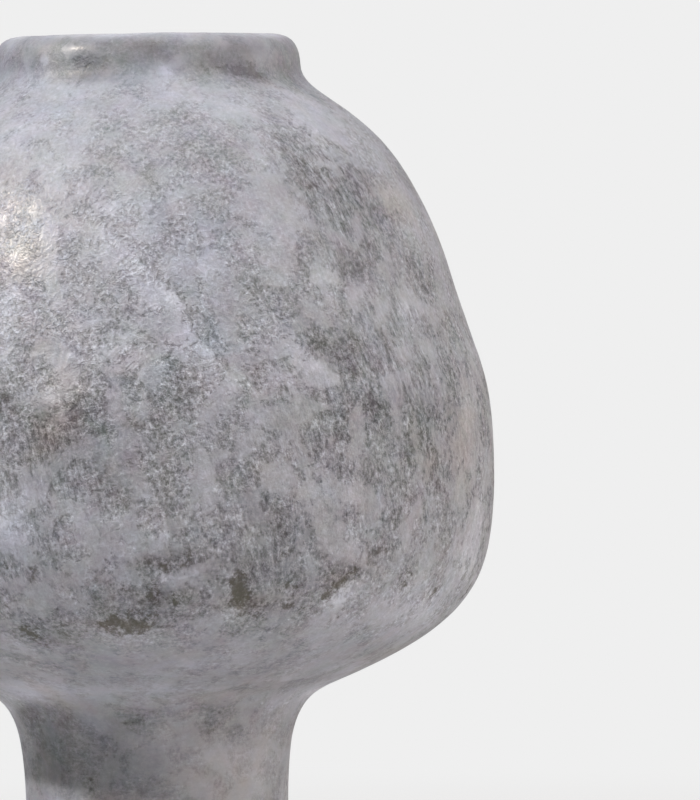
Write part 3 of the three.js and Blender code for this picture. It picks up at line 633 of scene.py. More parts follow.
skin = places[outer]
skin_along = along[outer]
radii = np.hypot(skin[:, 0], skin[:, 1])
degrees = np.degrees(np.arctan2(skin[:, 0], -skin[:, 1]))
rise_line = outside[:np.argmax(outside[:, 1]) + 1]
rise_along = travelled(rise_line)
print("points of the coat:", count, "of them on its skin:", len(skin))


def laid_flat(azimuth, height):
    """How far each point of the skin is from a place, in mm round the vase and mm up its side."""
    across = np.radians((degrees - azimuth + 180) % 360 - 180) * radii
    return across, skin_along - np.interp(height, rise_line[:, 1], rise_along)


def smooth_step(values, low, high):
    """0 below low, 1 above high, and a smooth ramp between."""
    t = np.clip((values - low) / (high - low), 0, 1)
    return t * t * (3 - 2 * t)


def oval(azimuth, height, half_length, half_width, turn):
    """A soft oval on the skin: 1 in its middle, 0 outside."""
    across, up = laid_flat(azimuth, height)
    c, s = math.cos(math.radians(turn)), math.sin(math.radians(turn))
    reach = np.hypot((across * c + up * s) / half_length, (up * c - across * s) / half_width)
    return 1 - smooth_step(reach, 0.2, 1.7)


def strongest_mark(entries):
    """The strongest of a list of marks at each point of the skin."""
    strongest = np.zeros(len(skin))
    for *place, strength in entries:
        strongest = np.maximum(strongest, strength * oval(*place))
    return strongest


# %% Measure the distance to the laps
LAP_WOBBLE = 1.6
LAP_TAPER = 9
LAP_CLIFF = 3
FAR_AWAY = 1e6


def field(size, octaves=2, shift=0.0):
    """Soft noise between about -1 and 1 at each point of the skin, with bumps of a size in mm."""
    offset = Vector((shift, -shift, 0.5 * shift))
    return np.array([noise.fractal(Vector(p) / size + offset, 0.9, 2.1, octaves) for p in skin])


lap_side = np.zeros(len(skin))
lap_weight = np.zeros(len(skin))
wobble = LAP_WOBBLE * field(6, 2, 5.0)
for strength, feather, line in LAPS:
    nearest = np.full(len(skin), FAR_AWAY)
    side = np.zeros(len(skin))
    for start, end in zip(line, line[1:]):
        across, up = laid_flat(*start)
        far_across, far_up = laid_flat(*end)
        run_across, run_up = across - far_across, up - far_up
        run = np.hypot(run_across, run_up)
        share = np.clip((across * run_across + up * run_up) / run ** 2, 0, 1)
        gap = np.hypot(across - share * run_across, up - share * run_up)
        left = (run_across * up - run_up * across) / run
        closer = gap < nearest
        side = np.where(closer, np.sign(left) * gap, side)
        nearest = np.minimum(nearest, gap)
    ends = np.minimum(*(np.hypot(*laid_flat(*line[i])) for i in (0, -1)))
    weight = strength * np.exp(-(nearest / feather) ** 2) * smooth_step(ends, 0, LAP_TAPER)
    weight = np.where(side < 0, weight * np.exp(-nearest / LAP_CLIFF), weight)
    stronger = weight > lap_weight
    lap_side = np.where(stronger, side + wobble, lap_side)
    lap_weight = np.maximum(weight, lap_weight)
print("points of the skin on a lap:", int((lap_weight > 0.1).sum()))

# %% Sink the coat's points
WAVE_SIZE, WAVE_DEPTH = 52, 0.28
DENT_SIZE, DENT_DEPTH = 16, 0.14
HOLLOW_DEPTH = 0.3
LAP_STEP = 0.28
REST_DEPTH = 0.45
LAP_EDGE = 0.9
DEEPEST = 1.1
HEM_DEPTH = 0.9
HEM_WIDTH = 4

worn = strongest_mark(WORN)
veil = strongest_mark(VEILS)
# Painted light and shadow, mixed with the plaster's own tone, summed from the patches.
painted_light_and_tone = sum(strength * oval(*place) for *place, strength in PAINTED_LIGHT_AND_TONE)
streaky = strongest_mark(STREAKS)
stain = sum(strength * oval(*place) for *place, strength in STAINS)
waxed = strongest_mark(WAXED)
raised = lap_weight * smooth_step(lap_side, -LAP_EDGE, LAP_EDGE)
depth = REST_DEPTH + WAVE_DEPTH * field(WAVE_SIZE) + DENT_DEPTH * field(DENT_SIZE, 3, 2.0)
depth += HOLLOW_DEPTH * worn - LAP_STEP * raised
depth = np.clip(depth, 0, DEEPEST)
print("relief, mm:", round(depth.min(), 2), "to", round(depth.max(), 2))

to_hem = np.minimum(skin_along, skin_along.max() - skin_along)
body_share = smooth_step(to_hem, 0, HEM_WIDTH)
depth = depth * body_share + HEM_DEPTH * (1 - body_share)
places[outer] = skin - normals[outer] * depth[:, None]
coat_mesh.vertices.foreach_set("co", (places * MM).ravel())

# %% [markdown]
# ## What changes with height
# The trowel went round the foot and the collar, so the strokes run round there instead of up. The belly
# was rubbed hardest low down, in a band. The crust is thickest round the belly and thin at the foot and
# the collar. The grain gets finer toward the shoulder, but where the trowel was drawn steeply it is coarse.

# %% Hand the marks to the material
FOOT_PART = (97, 103)
COLLAR_PART = (296, 303)
COLLAR_CLOSED = 0.8
BAND_RISE, BAND_FALL = (86, 98), (120, 150)
CRUST_BY_HEIGHT = [(60, 0.5), (95, 0.6), (108, 1.15), (135, 1.4), (180, 1.5), (205, 1.3), (240, 0.85),
                   (298, 0.62), (306, 0.22)]
STREAK_CRUST = 1.35
FINE_PART = (190, 245)
STREAK_HIDES_FINE = 0.8
STREAK_COARSENS = 0.45

level = skin[:, 2]
closed = np.maximum(1 - smooth_step(level, *FOOT_PART), COLLAR_CLOSED * smooth_step(level, *COLLAR_PART))
band = smooth_step(level, *BAND_RISE) * (1 - smooth_step(level, *BAND_FALL))
crusty = np.maximum(np.interp(level, *zip(*CRUST_BY_HEIGHT)), STREAK_CRUST * streaky)
fine = smooth_step(level, *FINE_PART) * (1 - STREAK_HIDES_FINE * streaky) - STREAK_COARSENS * streaky
carried = {
    "worn": worn, "veil": veil, "painted_light_and_tone": painted_light_and_tone, "streaky": streaky, "stain": stain, "waxed": waxed,
    "lap_side": lap_side, "lap_weight": lap_weight, "closed": closed, "band": band, "crusty": crusty,
    "fine": fine,
}
for name, values in carried.items():
    everywhere = np.zeros(count)
    everywhere[outer] = values
    coat_mesh.attributes.new(name, "FLOAT", "POINT").data.foreach_set("value", everywhere)
coat_mesh.update()
print("attributes of the coat:", ", ".join(carried))

# %% [markdown]
# ## The coat's finish
# It is a lime-like skim coat, rubbed back before it was hard and sealed with a thin wax. A soft grey
# plaster lies over a darker ground, which shows where the coat was rubbed through. The wax gives the
# grain a soft broken gloss. One tone runs through all of it: clouds, grain, wear and veils each push the
# tone up or down, and a colour ramp turns it into plaster. That keeps the layers in one family of colour.
# Noises in several sizes come first, each sized in millimetres from what the picture shows: clouds,
# patches, ragged edges, grain, and strokes that were drawn up the flank or round the foot and collar.

# %% Rubbed lime plaster: the noises
CLOUD_SIZE = 21
PATCH_SIZE = 12
RAGGED_SIZE = 5.5
GRAIN_SIZE = 2.8
FINE_GRAIN_SIZE = 1.5
STROKE_SIZE = 1.8
STROKE_LEAN = math.radians(-16)
STROKE_STRETCH = 3.2
ROUND_STRETCH = 0.22
TINT_SIZE = 11

coat_material, tree, output = new_material("rubbed_lime_plaster")
place = add_node(tree, "ShaderNodeTexCoord").outputs["Object"]
mark = {name: add_node(tree, "ShaderNodeAttribute", attribute_name=name).outputs["Fac"] for name in carried}
cloud = add_node(tree, "ShaderNodeTexNoise", {
    "Vector": place, "Scale": 1 / (CLOUD_SIZE * MM), "Detail": 6, "Roughness": 0.62, "Distortion": 0.5})
patch = add_node(tree, "ShaderNodeTexNoise", {
    "Vector": place, "Scale": 1 / (PATCH_SIZE * MM), "Detail": 6, "Roughness": 0.66, "Distortion": 0.6})
ragged = add_node(tree, "ShaderNodeTexNoise", {
    "Vector": place, "Scale": 1 / (RAGGED_SIZE * MM), "Detail": 5, "Roughness": 0.68})
grain = add_node(tree, "ShaderNodeTexNoise", {
    "Vector": place, "Scale": 1 / (GRAIN_SIZE * MM), "Detail": 3, "Roughness": 0.8, "Distortion": 0.12})
fine_grain = add_node(tree, "ShaderNodeTexNoise", {
    "Vector": place, "Scale": 1 / (FINE_GRAIN_SIZE * MM), "Detail": 2, "Roughness": 0.7, "Distortion": 0.2})
leaning = add_node(tree, "ShaderNodeMapping", {
    "Vector": place, "Rotation": (0, STROKE_LEAN, 0), "Scale": (1, 1, STROKE_STRETCH)},
    vector_type="TEXTURE")
drawn_up = add_node(tree, "ShaderNodeTexNoise", {
    "Vector": leaning.outputs[0], "Scale": 1 / (STROKE_SIZE * MM), "Detail": 4, "Roughness": 0.8,
    "Distortion": 0.25})
roundward = add_node(tree, "ShaderNodeMapping", {
    "Vector": place, "Scale": (ROUND_STRETCH, ROUND_STRETCH, 1)})
drawn_round = add_node(tree, "ShaderNodeTexNoise", {
    "Vector": roundward.outputs[0], "Scale": 1 / (STROKE_SIZE * MM), "Detail": 3, "Roughness": 0.85})
strokes = add_node(tree, "ShaderNodeMix", {
    0: mark["closed"], 2: drawn_up.outputs["Fac"], 3: drawn_round.outputs["Fac"]}, data_type="FLOAT")
tint = add_node(tree, "ShaderNodeTexNoise", {
    "Vector": place, "Scale": 1 / (TINT_SIZE * MM), "Detail": 3, "Roughness": 0.6, "Distortion": 0.4})
print("nodes after the noises:", len(tree.nodes))

# %% [markdown]
# ### Worn patches and veils
# A mark says how much was rubbed away or closed over, and ragged noise is added to it before a sharp
# threshold cuts it off. So a soft oval gets the torn edge of real wear, and the crumbs that stand proud in
# the grain stay on longest.

# %% Rubbed lime plaster: worn patches and veils
WORN_RAGGED, WORN_GRAIN = 2.0, -1.2
WORN_FROM, WORN_TO = 0.95, 1.4
VEIL_RAGGED = 1.6
VEIL_FROM, VEIL_TO = 1.1, 1.6

worn_edge = add_node(tree, "ShaderNodeMath", {
    0: ragged.outputs["Fac"], 1: WORN_RAGGED, 2: mark["worn"]}, operation="MULTIPLY_ADD")
worn_edge = add_node(tree, "ShaderNodeMath", {
    0: grain.outputs["Fac"], 1: WORN_GRAIN, 2: worn_edge.outputs[0]}, operation="MULTIPLY_ADD")
worn_through = add_node(tree, "ShaderNodeMapRange", {
    "Value": worn_edge.outputs[0], "From Min": WORN_FROM, "From Max": WORN_TO},
    interpolation_type="SMOOTHSTEP")
veil_edge = add_node(tree, "ShaderNodeMath", {
    0: ragged.outputs["Fac"], 1: VEIL_RAGGED, 2: mark["veil"]}, operation="MULTIPLY_ADD")
veiled = add_node(tree, "ShaderNodeMapRange", {
    "Value": veil_edge.outputs[0], "From Min": VEIL_FROM, "From Max": VEIL_TO},
    interpolation_type="SMOOTHSTEP")

# %% [markdown]
# ### Rough and smooth patches
# The trowel opened the plaster in some patches and closed it in others. Patch noise parts them: in the
# open ones the grain is strong, in the closed ones faint. The grain itself is mixed from crumbs, finer
# crumbs toward the shoulder, and drawn strokes in the streaks. Its square is added to it, which makes the
# light crumbs stand out more than the dark hollows between them.

# %% Rubbed lime plaster: rough and smooth patches
WORN_OPENS, VEIL_CLOSES = 0.3, -0.4
ROUGH_FROM, ROUGH_TO = 0.46, 0.56
SMOOTH_STRENGTH, FINE_STRENGTH, ROUGH_STRENGTH = 0.5, 0.65, 1.45
STROKES_LEAST, STROKES_MOST = 0.4, 0.95
COARSEST = -0.5
FINE_LEAST, FINE_MOST = 0.12, 0.65
CRUST_LOW, CRUST_HIGH, CRUST_SWING = 0.3, 0.7, 0.21
CRUMB_SHARE = 1.3

openness = add_node(tree, "ShaderNodeMath", {
    0: mark["worn"], 1: WORN_OPENS, 2: patch.outputs["Fac"]}, operation="MULTIPLY_ADD")
openness = add_node(tree, "ShaderNodeMath", {
    0: veiled.outputs["Result"], 1: VEIL_CLOSES, 2: openness.outputs[0]}, operation="MULTIPLY_ADD")
rough = add_node(tree, "ShaderNodeMapRange", {
    "Value": openness.outputs[0], "From Min": ROUGH_FROM, "From Max": ROUGH_TO},
    interpolation_type="SMOOTHSTEP")
evened = add_node(tree, "ShaderNodeMapRange", {
    "Value": mark["fine"], "To Min": SMOOTH_STRENGTH, "To Max": FINE_STRENGTH})
strength = add_node(tree, "ShaderNodeMapRange", {
    "Value": rough.outputs["Result"], "To Min": evened.outputs["Result"], "To Max": ROUGH_STRENGTH})
strength = add_node(tree, "ShaderNodeMath", {
    0: strength.outputs["Result"], 1: mark["crusty"]}, operation="MULTIPLY")
stroke_share = add_node(tree, "ShaderNodeMapRange", {
    "Value": mark["streaky"], "To Min": STROKES_LEAST, "To Max": STROKES_MOST})
crust = add_node(tree, "ShaderNodeMix", {
    0: stroke_share.outputs["Result"], 2: grain.outputs["Fac"], 3: strokes.outputs[0]}, data_type="FLOAT")
fine_share = add_node(tree, "ShaderNodeMapRange", {
    "Value": mark["fine"], "From Min": COARSEST, "To Min": FINE_LEAST, "To Max": FINE_MOST})
crust = add_node(tree, "ShaderNodeMix", {
    0: fine_share.outputs["Result"], 2: crust.outputs[0], 3: fine_grain.outputs["Fac"]}, data_type="FLOAT")
crust = add_node(tree, "ShaderNodeMapRange", {
    "Value": crust.outputs[0], "From Min": CRUST_LOW, "From Max": CRUST_HIGH,
    "To Min": -CRUST_SWING, "To Max": CRUST_SWING})
crumbs = add_node(tree, "ShaderNodeMath", {
    0: crust.outputs["Result"], 1: crust.outputs["Result"]}, operation="MULTIPLY")
crust = add_node(tree, "ShaderNodeMath", {
    0: crumbs.outputs[0], 1: CRUMB_SHARE, 2: crust.outputs["Result"]}, operation="MULTIPLY_ADD")
speckle = add_node(tree, "ShaderNodeMath", {
    0: crust.outputs[0], 1: strength.outputs[0]}, operation="MULTIPLY")
print("nodes with the grain:", len(tree.nodes))

# %% [markdown]
# ### Laps in the material
# The grid steps up at a lap too softly to see its edge. The distance to the lap is on the mesh, so ragged
# noise and a threshold draw the edge itself: lighter on top, and just in front of it a dip in the relief
# and a painted shadow in the tone.

# %% Rubbed lime plaster: the laps
LAP_RAGGED = 6.0
LAP_FROM, LAP_TO = 2.5, 3.4
# How deep the threshold falls in front of a lap's edge: a dip in the relief and a painted shadow in the
# tone.
LAP_DIP_AND_PAINTED_SHADOW = -0.6

lap_edge = add_node(tree, "ShaderNodeMath", {
    0: ragged.outputs["Fac"], 1: LAP_RAGGED, 2: mark["lap_side"]}, operation="MULTIPLY_ADD")
lap_edge = add_node(tree, "ShaderNodeMapRange", {
    "Value": lap_edge.outputs[0], "From Min": LAP_FROM, "From Max": LAP_TO, "To Min": LAP_DIP_AND_PAINTED_SHADOW},
    interpolation_type="SMOOTHSTEP")
lap_step_and_painted_shadow = add_node(tree, "ShaderNodeMath", {
    0: lap_edge.outputs["Result"], 1: mark["lap_weight"]}, operation="MULTIPLY")

# %% [markdown]
# ### One tone
# Each layer adds its amount to the tone, lighter with a plus and darker with a minus. The clouds swing
# about the middle tone, so their middle is taken out of it. Five greys, from the ground's to the freshest
# plaster's, turn the tone into colour, a little bluer as they get lighter.

# %% Rubbed lime plaster: the tone
MIDDLE_TONE = 0.54
GRAIN_TONE = 1.8
CLOUD_TONE = 0.56
ROUGH_TONE = -0.075
WORN_TONE = -0.15
BAND_TONE = -0.12
VEIL_TONE = 0.1
# Lighter plaster on a lap's top, and a painted shadow in front of its edge.
LAP_TONE_AND_PAINTED_SHADOW = 0.14

band_worn = add_node(tree, "ShaderNodeMath", {
    0: worn_through.outputs["Result"], 1: mark["band"]}, operation="MULTIPLY")
tone = add_node(tree, "ShaderNodeMath", {
    0: cloud.outputs["Fac"], 1: CLOUD_TONE, 2: MIDDLE_TONE - 0.5 * CLOUD_TONE}, operation="MULTIPLY_ADD")
# The first layer is painted light and shadow mixed with the plaster's own tone.
for layer, amount in ((mark["painted_light_and_tone"], 1.0), (speckle.outputs[0], GRAIN_TONE),
                      (rough.outputs["Result"], ROUGH_TONE), (worn_through.outputs["Result"], WORN_TONE),
                      (band_worn.outputs[0], BAND_TONE),
                      (veiled.outputs["Result"], VEIL_TONE), (lap_step_and_painted_shadow.outputs[0], LAP_TONE_AND_PAINTED_SHADOW)):
    tone = add_node(tree, "ShaderNodeMath", {
        0: layer, 1: amount, 2: tone.outputs[0]}, operation="MULTIPLY_ADD")

PLASTER = [(0.0, "545457"), (0.25, "797A7F"), (0.5, "9C9CA3"), (0.75, "B6B7C1"), (1.0, "D5D7E1")]
plaster = add_node(tree, "ShaderNodeValToRGB", {"Fac": tone.outputs[0]})
ramp = plaster.color_ramp.elements
while len(ramp) < len(PLASTER):
    ramp.new(0.5)
for stop, (position, colour) in zip(ramp, PLASTER):
    stop.position = position
    stop.color = linear(colour)
print("greys of the plaster:", len(ramp))

# %% [markdown]
# ### Tints
# Even grey plaster has faint specks of every hue, so a little coloured noise is laid over it. The ground
# shows olive in the worn band, iron stains it warm and lime bloom cools it.

# %% Rubbed lime plaster: its tints
TINT_SHARE = 0.028
OLIVE_GROUND = linear("625F54")
OLIVE_SHARE = 0.6
LIME_BLOOM = "EEF5FF"
IRON_STAIN = "FFF5E8"
STAIN_RAGGED, STAIN_STRENGTH = 0.5, 0.5

tinted = add_node(tree, "ShaderNodeMix", {
    0: TINT_SHARE, 6: plaster.outputs["Color"], 7: tint.outputs["Color"]}, data_type="RGBA",
    blend_type="LINEAR_LIGHT")
olive_share = add_node(tree, "ShaderNodeMath", {
    0: band_worn.outputs[0], 1: OLIVE_SHARE}, operation="MULTIPLY")
colour = add_node(tree, "ShaderNodeMix", {
    0: olive_share.outputs[0], 6: tinted.outputs[2], 7: OLIVE_GROUND}, data_type="RGBA")
warmth = add_node(tree, "ShaderNodeMath", {
    0: ragged.outputs["Fac"], 1: STAIN_RAGGED, 2: 0.5 - 0.5 * STAIN_RAGGED}, operation="MULTIPLY_ADD")
warmth = add_node(tree, "ShaderNodeMath", {
    0: mark["stain"], 1: STAIN_STRENGTH, 2: warmth.outputs[0]}, operation="MULTIPLY_ADD")
stain_colour = add_node(tree, "ShaderNodeValToRGB", {"Fac": warmth.outputs[0]})
ramp = stain_colour.color_ramp.elements
ramp.new(0.5)
for stop, colour_there in zip(ramp, (LIME_BLOOM, "FFFFFF", IRON_STAIN)):
    stop.color = linear(colour_there)
colour = add_node(tree, "ShaderNodeMix", {
    0: 1.0, 6: colour.outputs[2], 7: stain_colour.outputs["Color"]}, data_type="RGBA",
    blend_type="MULTIPLY")

# %% [markdown]
# ### Relief and gloss
# What is finer than the grid is bump here: grain, lumps where the crust is thick, opened patches, worn
# places and the edges of laps. Light plaster is rubbed smoother than dark ground. The wax is a clear coat
# that fills most of the grain, so it has a weaker bump of its own, and polished places have more of it.

# %% Rubbed lime plaster: relief and gloss
GRAIN_RELIEF = 1.4
WORN_RELIEF = -0.2
ROUGH_RELIEF = -0.3
LUMP_RELIEF = 0.8
LAP_RELIEF = 0.45
WAX_RELIEF = 0.35
WAX_LEAST, WAX_MOST = 0.06, 0.55
WAX_ROUGHNESS, WAX_IOR = 0.25, 1.45
THIN_CRUST, THICK_CRUST = 0.6, 1.35
DARK_TONE, LIGHT_TONE = 0.2, 0.8
DARK_ROUGHNESS, LIGHT_ROUGHNESS = 0.65, 0.46

height = add_node(tree, "ShaderNodeMath", {0: speckle.outputs[0], 1: GRAIN_RELIEF}, operation="MULTIPLY")
thick = add_node(tree, "ShaderNodeMapRange", {
    "Value": mark["crusty"], "From Min": THIN_CRUST, "From Max": THICK_CRUST})
lumps = add_node(tree, "ShaderNodeMath", {
    0: ragged.outputs["Fac"], 1: thick.outputs["Result"]}, operation="MULTIPLY")
opened = add_node(tree, "ShaderNodeMath", {
    0: rough.outputs["Result"], 1: thick.outputs["Result"]}, operation="MULTIPLY")
for layer, amount in ((worn_through.outputs["Result"], WORN_RELIEF), (lap_step_and_painted_shadow.outputs[0], LAP_RELIEF),
                      (opened.outputs[0], ROUGH_RELIEF), (lumps.outputs[0], LUMP_RELIEF)):
    height = add_node(tree, "ShaderNodeMath", {
        0: layer, 1: amount, 2: height.outputs[0]}, operation="MULTIPLY_ADD")
relief = add_node(tree, "ShaderNodeBump", {
    "Height": height.outputs[0], "Strength": 1.0, "Distance": MM})
wax_relief = add_node(tree, "ShaderNodeBump", {
    "Height": height.outputs[0], "Strength": 1.0, "Distance": WAX_RELIEF * MM})
gloss = add_node(tree, "ShaderNodeMapRange", {
    "Value": tone.outputs[0], "From Min": DARK_TONE, "From Max": LIGHT_TONE,
    "To Min": DARK_ROUGHNESS, "To Max": LIGHT_ROUGHNESS})
wax = add_node(tree, "ShaderNodeMapRange", {
    "Value": mark["waxed"], "To Min": WAX_LEAST, "To Max": WAX_MOST})
surface = add_node(tree, "ShaderNodeBsdfPrincipled", {
    "Base Color": colour.outputs[2], "Roughness": gloss.outputs["Result"],
    "Coat Weight": wax.outputs["Result"], "Coat Roughness": WAX_ROUGHNESS, "Coat IOR": WAX_IOR,
    "Normal": relief.outputs["Normal"], "Coat Normal": wax_relief.outputs["Normal"]})
tree.links.new(surface.outputs[0], output.inputs["Surface"])

print(coat_material.name, "nodes:", len(tree.nodes))

coat = bpy.data.objects.new("skim_coat_trowelled", coat_mesh)
finish_piece(coat, ["skim_coat"], coat_material)

# %% [markdown]
# ## Turned clay sections
# Under the coat the vase is four rings of turned and fired clay: the drum foot, the bowl, the dome and the
# rolled collar. A tongue on the lower one stands in a socket of the upper one, and the collar's tongue
# hangs in the dome's opening. Only the throat and the foot's lower edge show, but each ring is made whole,
# with the shallow rings that a potter's fingers leave inside. Spin suits them, as the wheel did.

# %% The faces of the clay
CLAY_DEPTH = 1.8
WALL = 10
CLAY_STEPS = 192
FACE_SPACING = 3.0
INSIDE_SPACING = 1.4
FINGER_PITCH = 7.5
FINGER_DEPTH = 0.4
FINGER_FADE = 6
LEAST_STEP = 0.3
BASE = 2.5

clay_face = evenly(outline_line(CLAY_DEPTH, 0, 7), FACE_SPACING)
inside_face = evenly(outline_line(WALL, 0, 6), INSIDE_SPACING)


def radius_at(line, height):
    """The radius of a rising line at one height."""
    return float(np.interp(height, line[:, 1], line[:, 0]))


def between(line, low, high):
    """The part of a rising line between two heights."""
    kept = [tuple(p) for p in line if low + LEAST_STEP < p[1] < high - LEAST_STEP]
    return [(radius_at(line, low), low), *kept, (radius_at(line, high), high)]


def fingered(line):
    """A line down the inside of a wall, with a potter's finger rings pressed into it."""
    heights = np.array([z for _, z in line])
    rings = 0.5 - 0.5 * np.cos(2 * math.pi * heights / FINGER_PITCH)
    fade = np.minimum(np.abs(heights - heights[0]), np.abs(heights - heights[-1])) / FINGER_FADE
    carved = FINGER_DEPTH * rings * np.clip(fade, 0, 1)
    return [(r + c, z) for (r, z), c in zip(line, carved)][::-1]


print("clay faces, points:", len(clay_face), "outside,", len(inside_face), "inside")

# %% The laps between the sections
NECK_SEAM, BELLY_SEAM, COLLAR_SEAM = 50, 160, 299
BOND = 1.2
CLEARANCE = 0.3
TONGUE_HEIGHT = 8
TONGUE_THICKNESS = 3.6
COLLAR_LAND = 6


def lap_joint(seam):
    """Where a tongue stands up into a socket, about a seam at one height."""
    top = seam + TONGUE_HEIGHT
    tongue = max(radius_at(inside_face, seam), radius_at(inside_face, top)) + TONGUE_THICKNESS
    return {"land": seam - BOND / 2, "seat": seam + BOND / 2, "tongue": tongue, "tongue_end": top,
            "socket": tongue + CLEARANCE, "socket_end": top + CLEARANCE}


neck = lap_joint(NECK_SEAM)
belly = lap_joint(BELLY_SEAM)
opening = radius_at(clay_face, COLLAR_SEAM - BOND / 2) - COLLAR_LAND
falling = inside_face[np.argmax(inside_face[:, 0]):][::-1]
collar = {"land": COLLAR_SEAM - BOND / 2, "seat": COLLAR_SEAM + BOND / 2, "tongue": opening - CLEARANCE,
          "socket": opening, "tongue_end": float(np.interp(opening, falling[:, 0], falling[:, 1]))}
print("tongues, mm:", [round(joint["tongue"], 2) for joint in (neck, belly, collar)])

# %% The sections, up the outside and down the inside
FOOT_RADIUS = 46.9
FOOT_CHAMFER = 1.5
SEAT_RADIUS = 42.9
LEDGE = 12.7
HEM = 5.5
BORE = 40.3
THROAT_HEIGHT = 7
THROAT_LAND = 2.4
THROAT_SWELL = 2
THROAT_STEPS = 12
LIP_SEAM = 308
CLAY_LIP_SPACING = 1.2

foot_section = [
    (FOOT_RADIUS - FOOT_CHAMFER, BASE), (FOOT_RADIUS, BASE + FOOT_CHAMFER),
    *between(clay_face, HEM, neck["land"]),
    (neck["tongue"], neck["land"]), (neck["tongue"], neck["tongue_end"]),
    *fingered(between(inside_face, LEDGE, neck["tongue_end"])),
    (SEAT_RADIUS, LEDGE), (SEAT_RADIUS, BASE),
]
bowl_section = [
    *between(clay_face, neck["seat"], belly["land"]),
    (belly["tongue"], belly["land"]), (belly["tongue"], belly["tongue_end"]),
    *fingered(between(inside_face, neck["socket_end"], belly["tongue_end"])),
    (neck["socket"], neck["socket_end"]), (neck["socket"], neck["seat"]),
]
dome_section = [
    *between(clay_face, belly["seat"], collar["land"]),
    (collar["socket"], collar["land"]),
    *fingered(between(inside_face, belly["socket_end"], collar["tongue_end"])),
    (belly["socket"], belly["socket_end"]), (belly["socket"], belly["seat"]),
]
lip_line = evenly(outline_line(CLAY_DEPTH, 6, 8), CLAY_LIP_SPACING)
lip = [tuple(p) for p in lip_line if p[1] > LIP_SEAM + 0.5]
throat_end = collar["tongue_end"]
throat = interpolate_bezier(
    (BORE, throat_end + THROAT_HEIGHT), (BORE, throat_end + THROAT_HEIGHT * 0.33),
    (BORE + THROAT_SWELL, throat_end + 1), (collar["tongue"] - THROAT_LAND, throat_end), THROAT_STEPS)
collar_section = [
    *between(clay_face, collar["seat"], LIP_SEAM), *lip, *[tuple(p)[:2] for p in throat],
    (collar["tongue"], collar["tongue_end"]), (collar["tongue"], collar["seat"]),
]

sections = {"pedestal_foot": foot_section, "belly_bowl": bowl_section, "shoulder_dome": dome_section,
            "rim_collar": collar_section}
print("points in a section:", {node: len(section) for node, section in sections.items()})

# %% [markdown]
# ## Fired clay
# The body is a coarse stoneware: clay with grog, which is fired clay crushed to grit, so that tall walls
# stand. Turning drags the grit and leaves fine lines round the piece, and the kiln leaves it dull and
# slightly mottled.

# %% Fired stoneware
GROG_SIZE = 1.6
MOTTLE_SIZE = 24
TURNING_LINE = 1.4
TURNING_STRETCH = 0.08
TURNING_SHARE = 0.35
GRIT_EDGE = (0.16, 0.34)
GRIT_HEIGHT = 0.4
GRIT_COLOUR = "9C9287"
CLAY = [(0.45, "655D56"), (0.9, "8A8178")]

clay_material, tree, output = new_material("fired_stoneware_with_grog")
place = add_node(tree, "ShaderNodeTexCoord").outputs["Object"]
mottle = add_node(tree, "ShaderNodeTexNoise", {
    "Vector": place, "Scale": 1 / (MOTTLE_SIZE * MM), "Detail": 5, "Roughness": 0.6})
grog = add_node(tree, "ShaderNodeTexVoronoi", {"Vector": place, "Scale": 1 / (GROG_SIZE * MM)})
grit = add_node(tree, "ShaderNodeMapRange", {
    "Value": grog.outputs["Distance"], "From Min": GRIT_EDGE[0], "From Max": GRIT_EDGE[1], "To Min": 1.0,
    "To Max": 0.0})
flattened = add_node(tree, "ShaderNodeMapping", {
    "Vector": place, "Scale": (TURNING_STRETCH, TURNING_STRETCH, 1)})
turning = add_node(tree, "ShaderNodeTexNoise", {
    "Vector": flattened.outputs[0], "Scale": 1 / (TURNING_LINE * MM), "Detail": 3, "Roughness": 0.6})
clay_tone = add_node(tree, "ShaderNodeMath", {
    0: turning.outputs["Fac"], 1: TURNING_SHARE, 2: mottle.outputs["Fac"]}, operation="MULTIPLY_ADD")
clay = add_node(tree, "ShaderNodeValToRGB", {"Fac": clay_tone.outputs[0]})
for stop, (position, colour) in zip(clay.color_ramp.elements, CLAY):
    stop.position = position
    stop.color = linear(colour)
gritty = add_node(tree, "ShaderNodeMix", {
    0: grit.outputs["Result"], 6: clay.outputs["Color"], 7: linear(GRIT_COLOUR)}, data_type="RGBA")
clay_height = add_node(tree, "ShaderNodeMath", {
    0: grit.outputs["Result"], 1: GRIT_HEIGHT, 2: turning.outputs["Fac"]}, operation="MULTIPLY_ADD")
relief = add_node(tree, "ShaderNodeBump", {
    "Height": clay_height.outputs[0], "Strength": 0.6, "Distance": 0.4 * MM})
surface = add_node(tree, "ShaderNodeBsdfPrincipled", {
    "Base Color": gritty.outputs[2], "Roughness": 0.85, "Normal": relief.outputs["Normal"]})
tree.links.new(surface.outputs[0], output.inputs["Surface"])
print(clay_material.name, "nodes:", len(tree.nodes))


# %% Turn the clay
def turn_piece(name, section, steps=CLAY_STEPS):
    """Turns a closed section into a named piece."""
    shape = bmesh.new()
    turn_round(shape, section, steps)
    bmesh.ops.recalc_face_normals(shape, faces=shape.faces)
    mesh = bpy.data.meshes.new(name)
    shape.to_mesh(mesh)
    shape.free()
    return bpy.data.objects.new(name, mesh)


for node, section in sections.items():
    finish_piece(turn_piece(node + "_turned", section), [node], clay_material)

# %% [markdown]
# ## The base disc
# A flat disc of the same clay closes the foot from below. It was cut off the wheel with a wire and
# smoothed, so its edges are eased and faint rings run round its underside. The section is turned as the
# others are, and the points on the axis merge into one.

# %% Turn the base disc
DISC_RADIUS = 42.6
DISC_TOP = 11.5
DISC_EASE = 0.8
WIRE_RINGS = 0.12
WIRE_PITCH = 5.2
UNDER_POINTS = 60

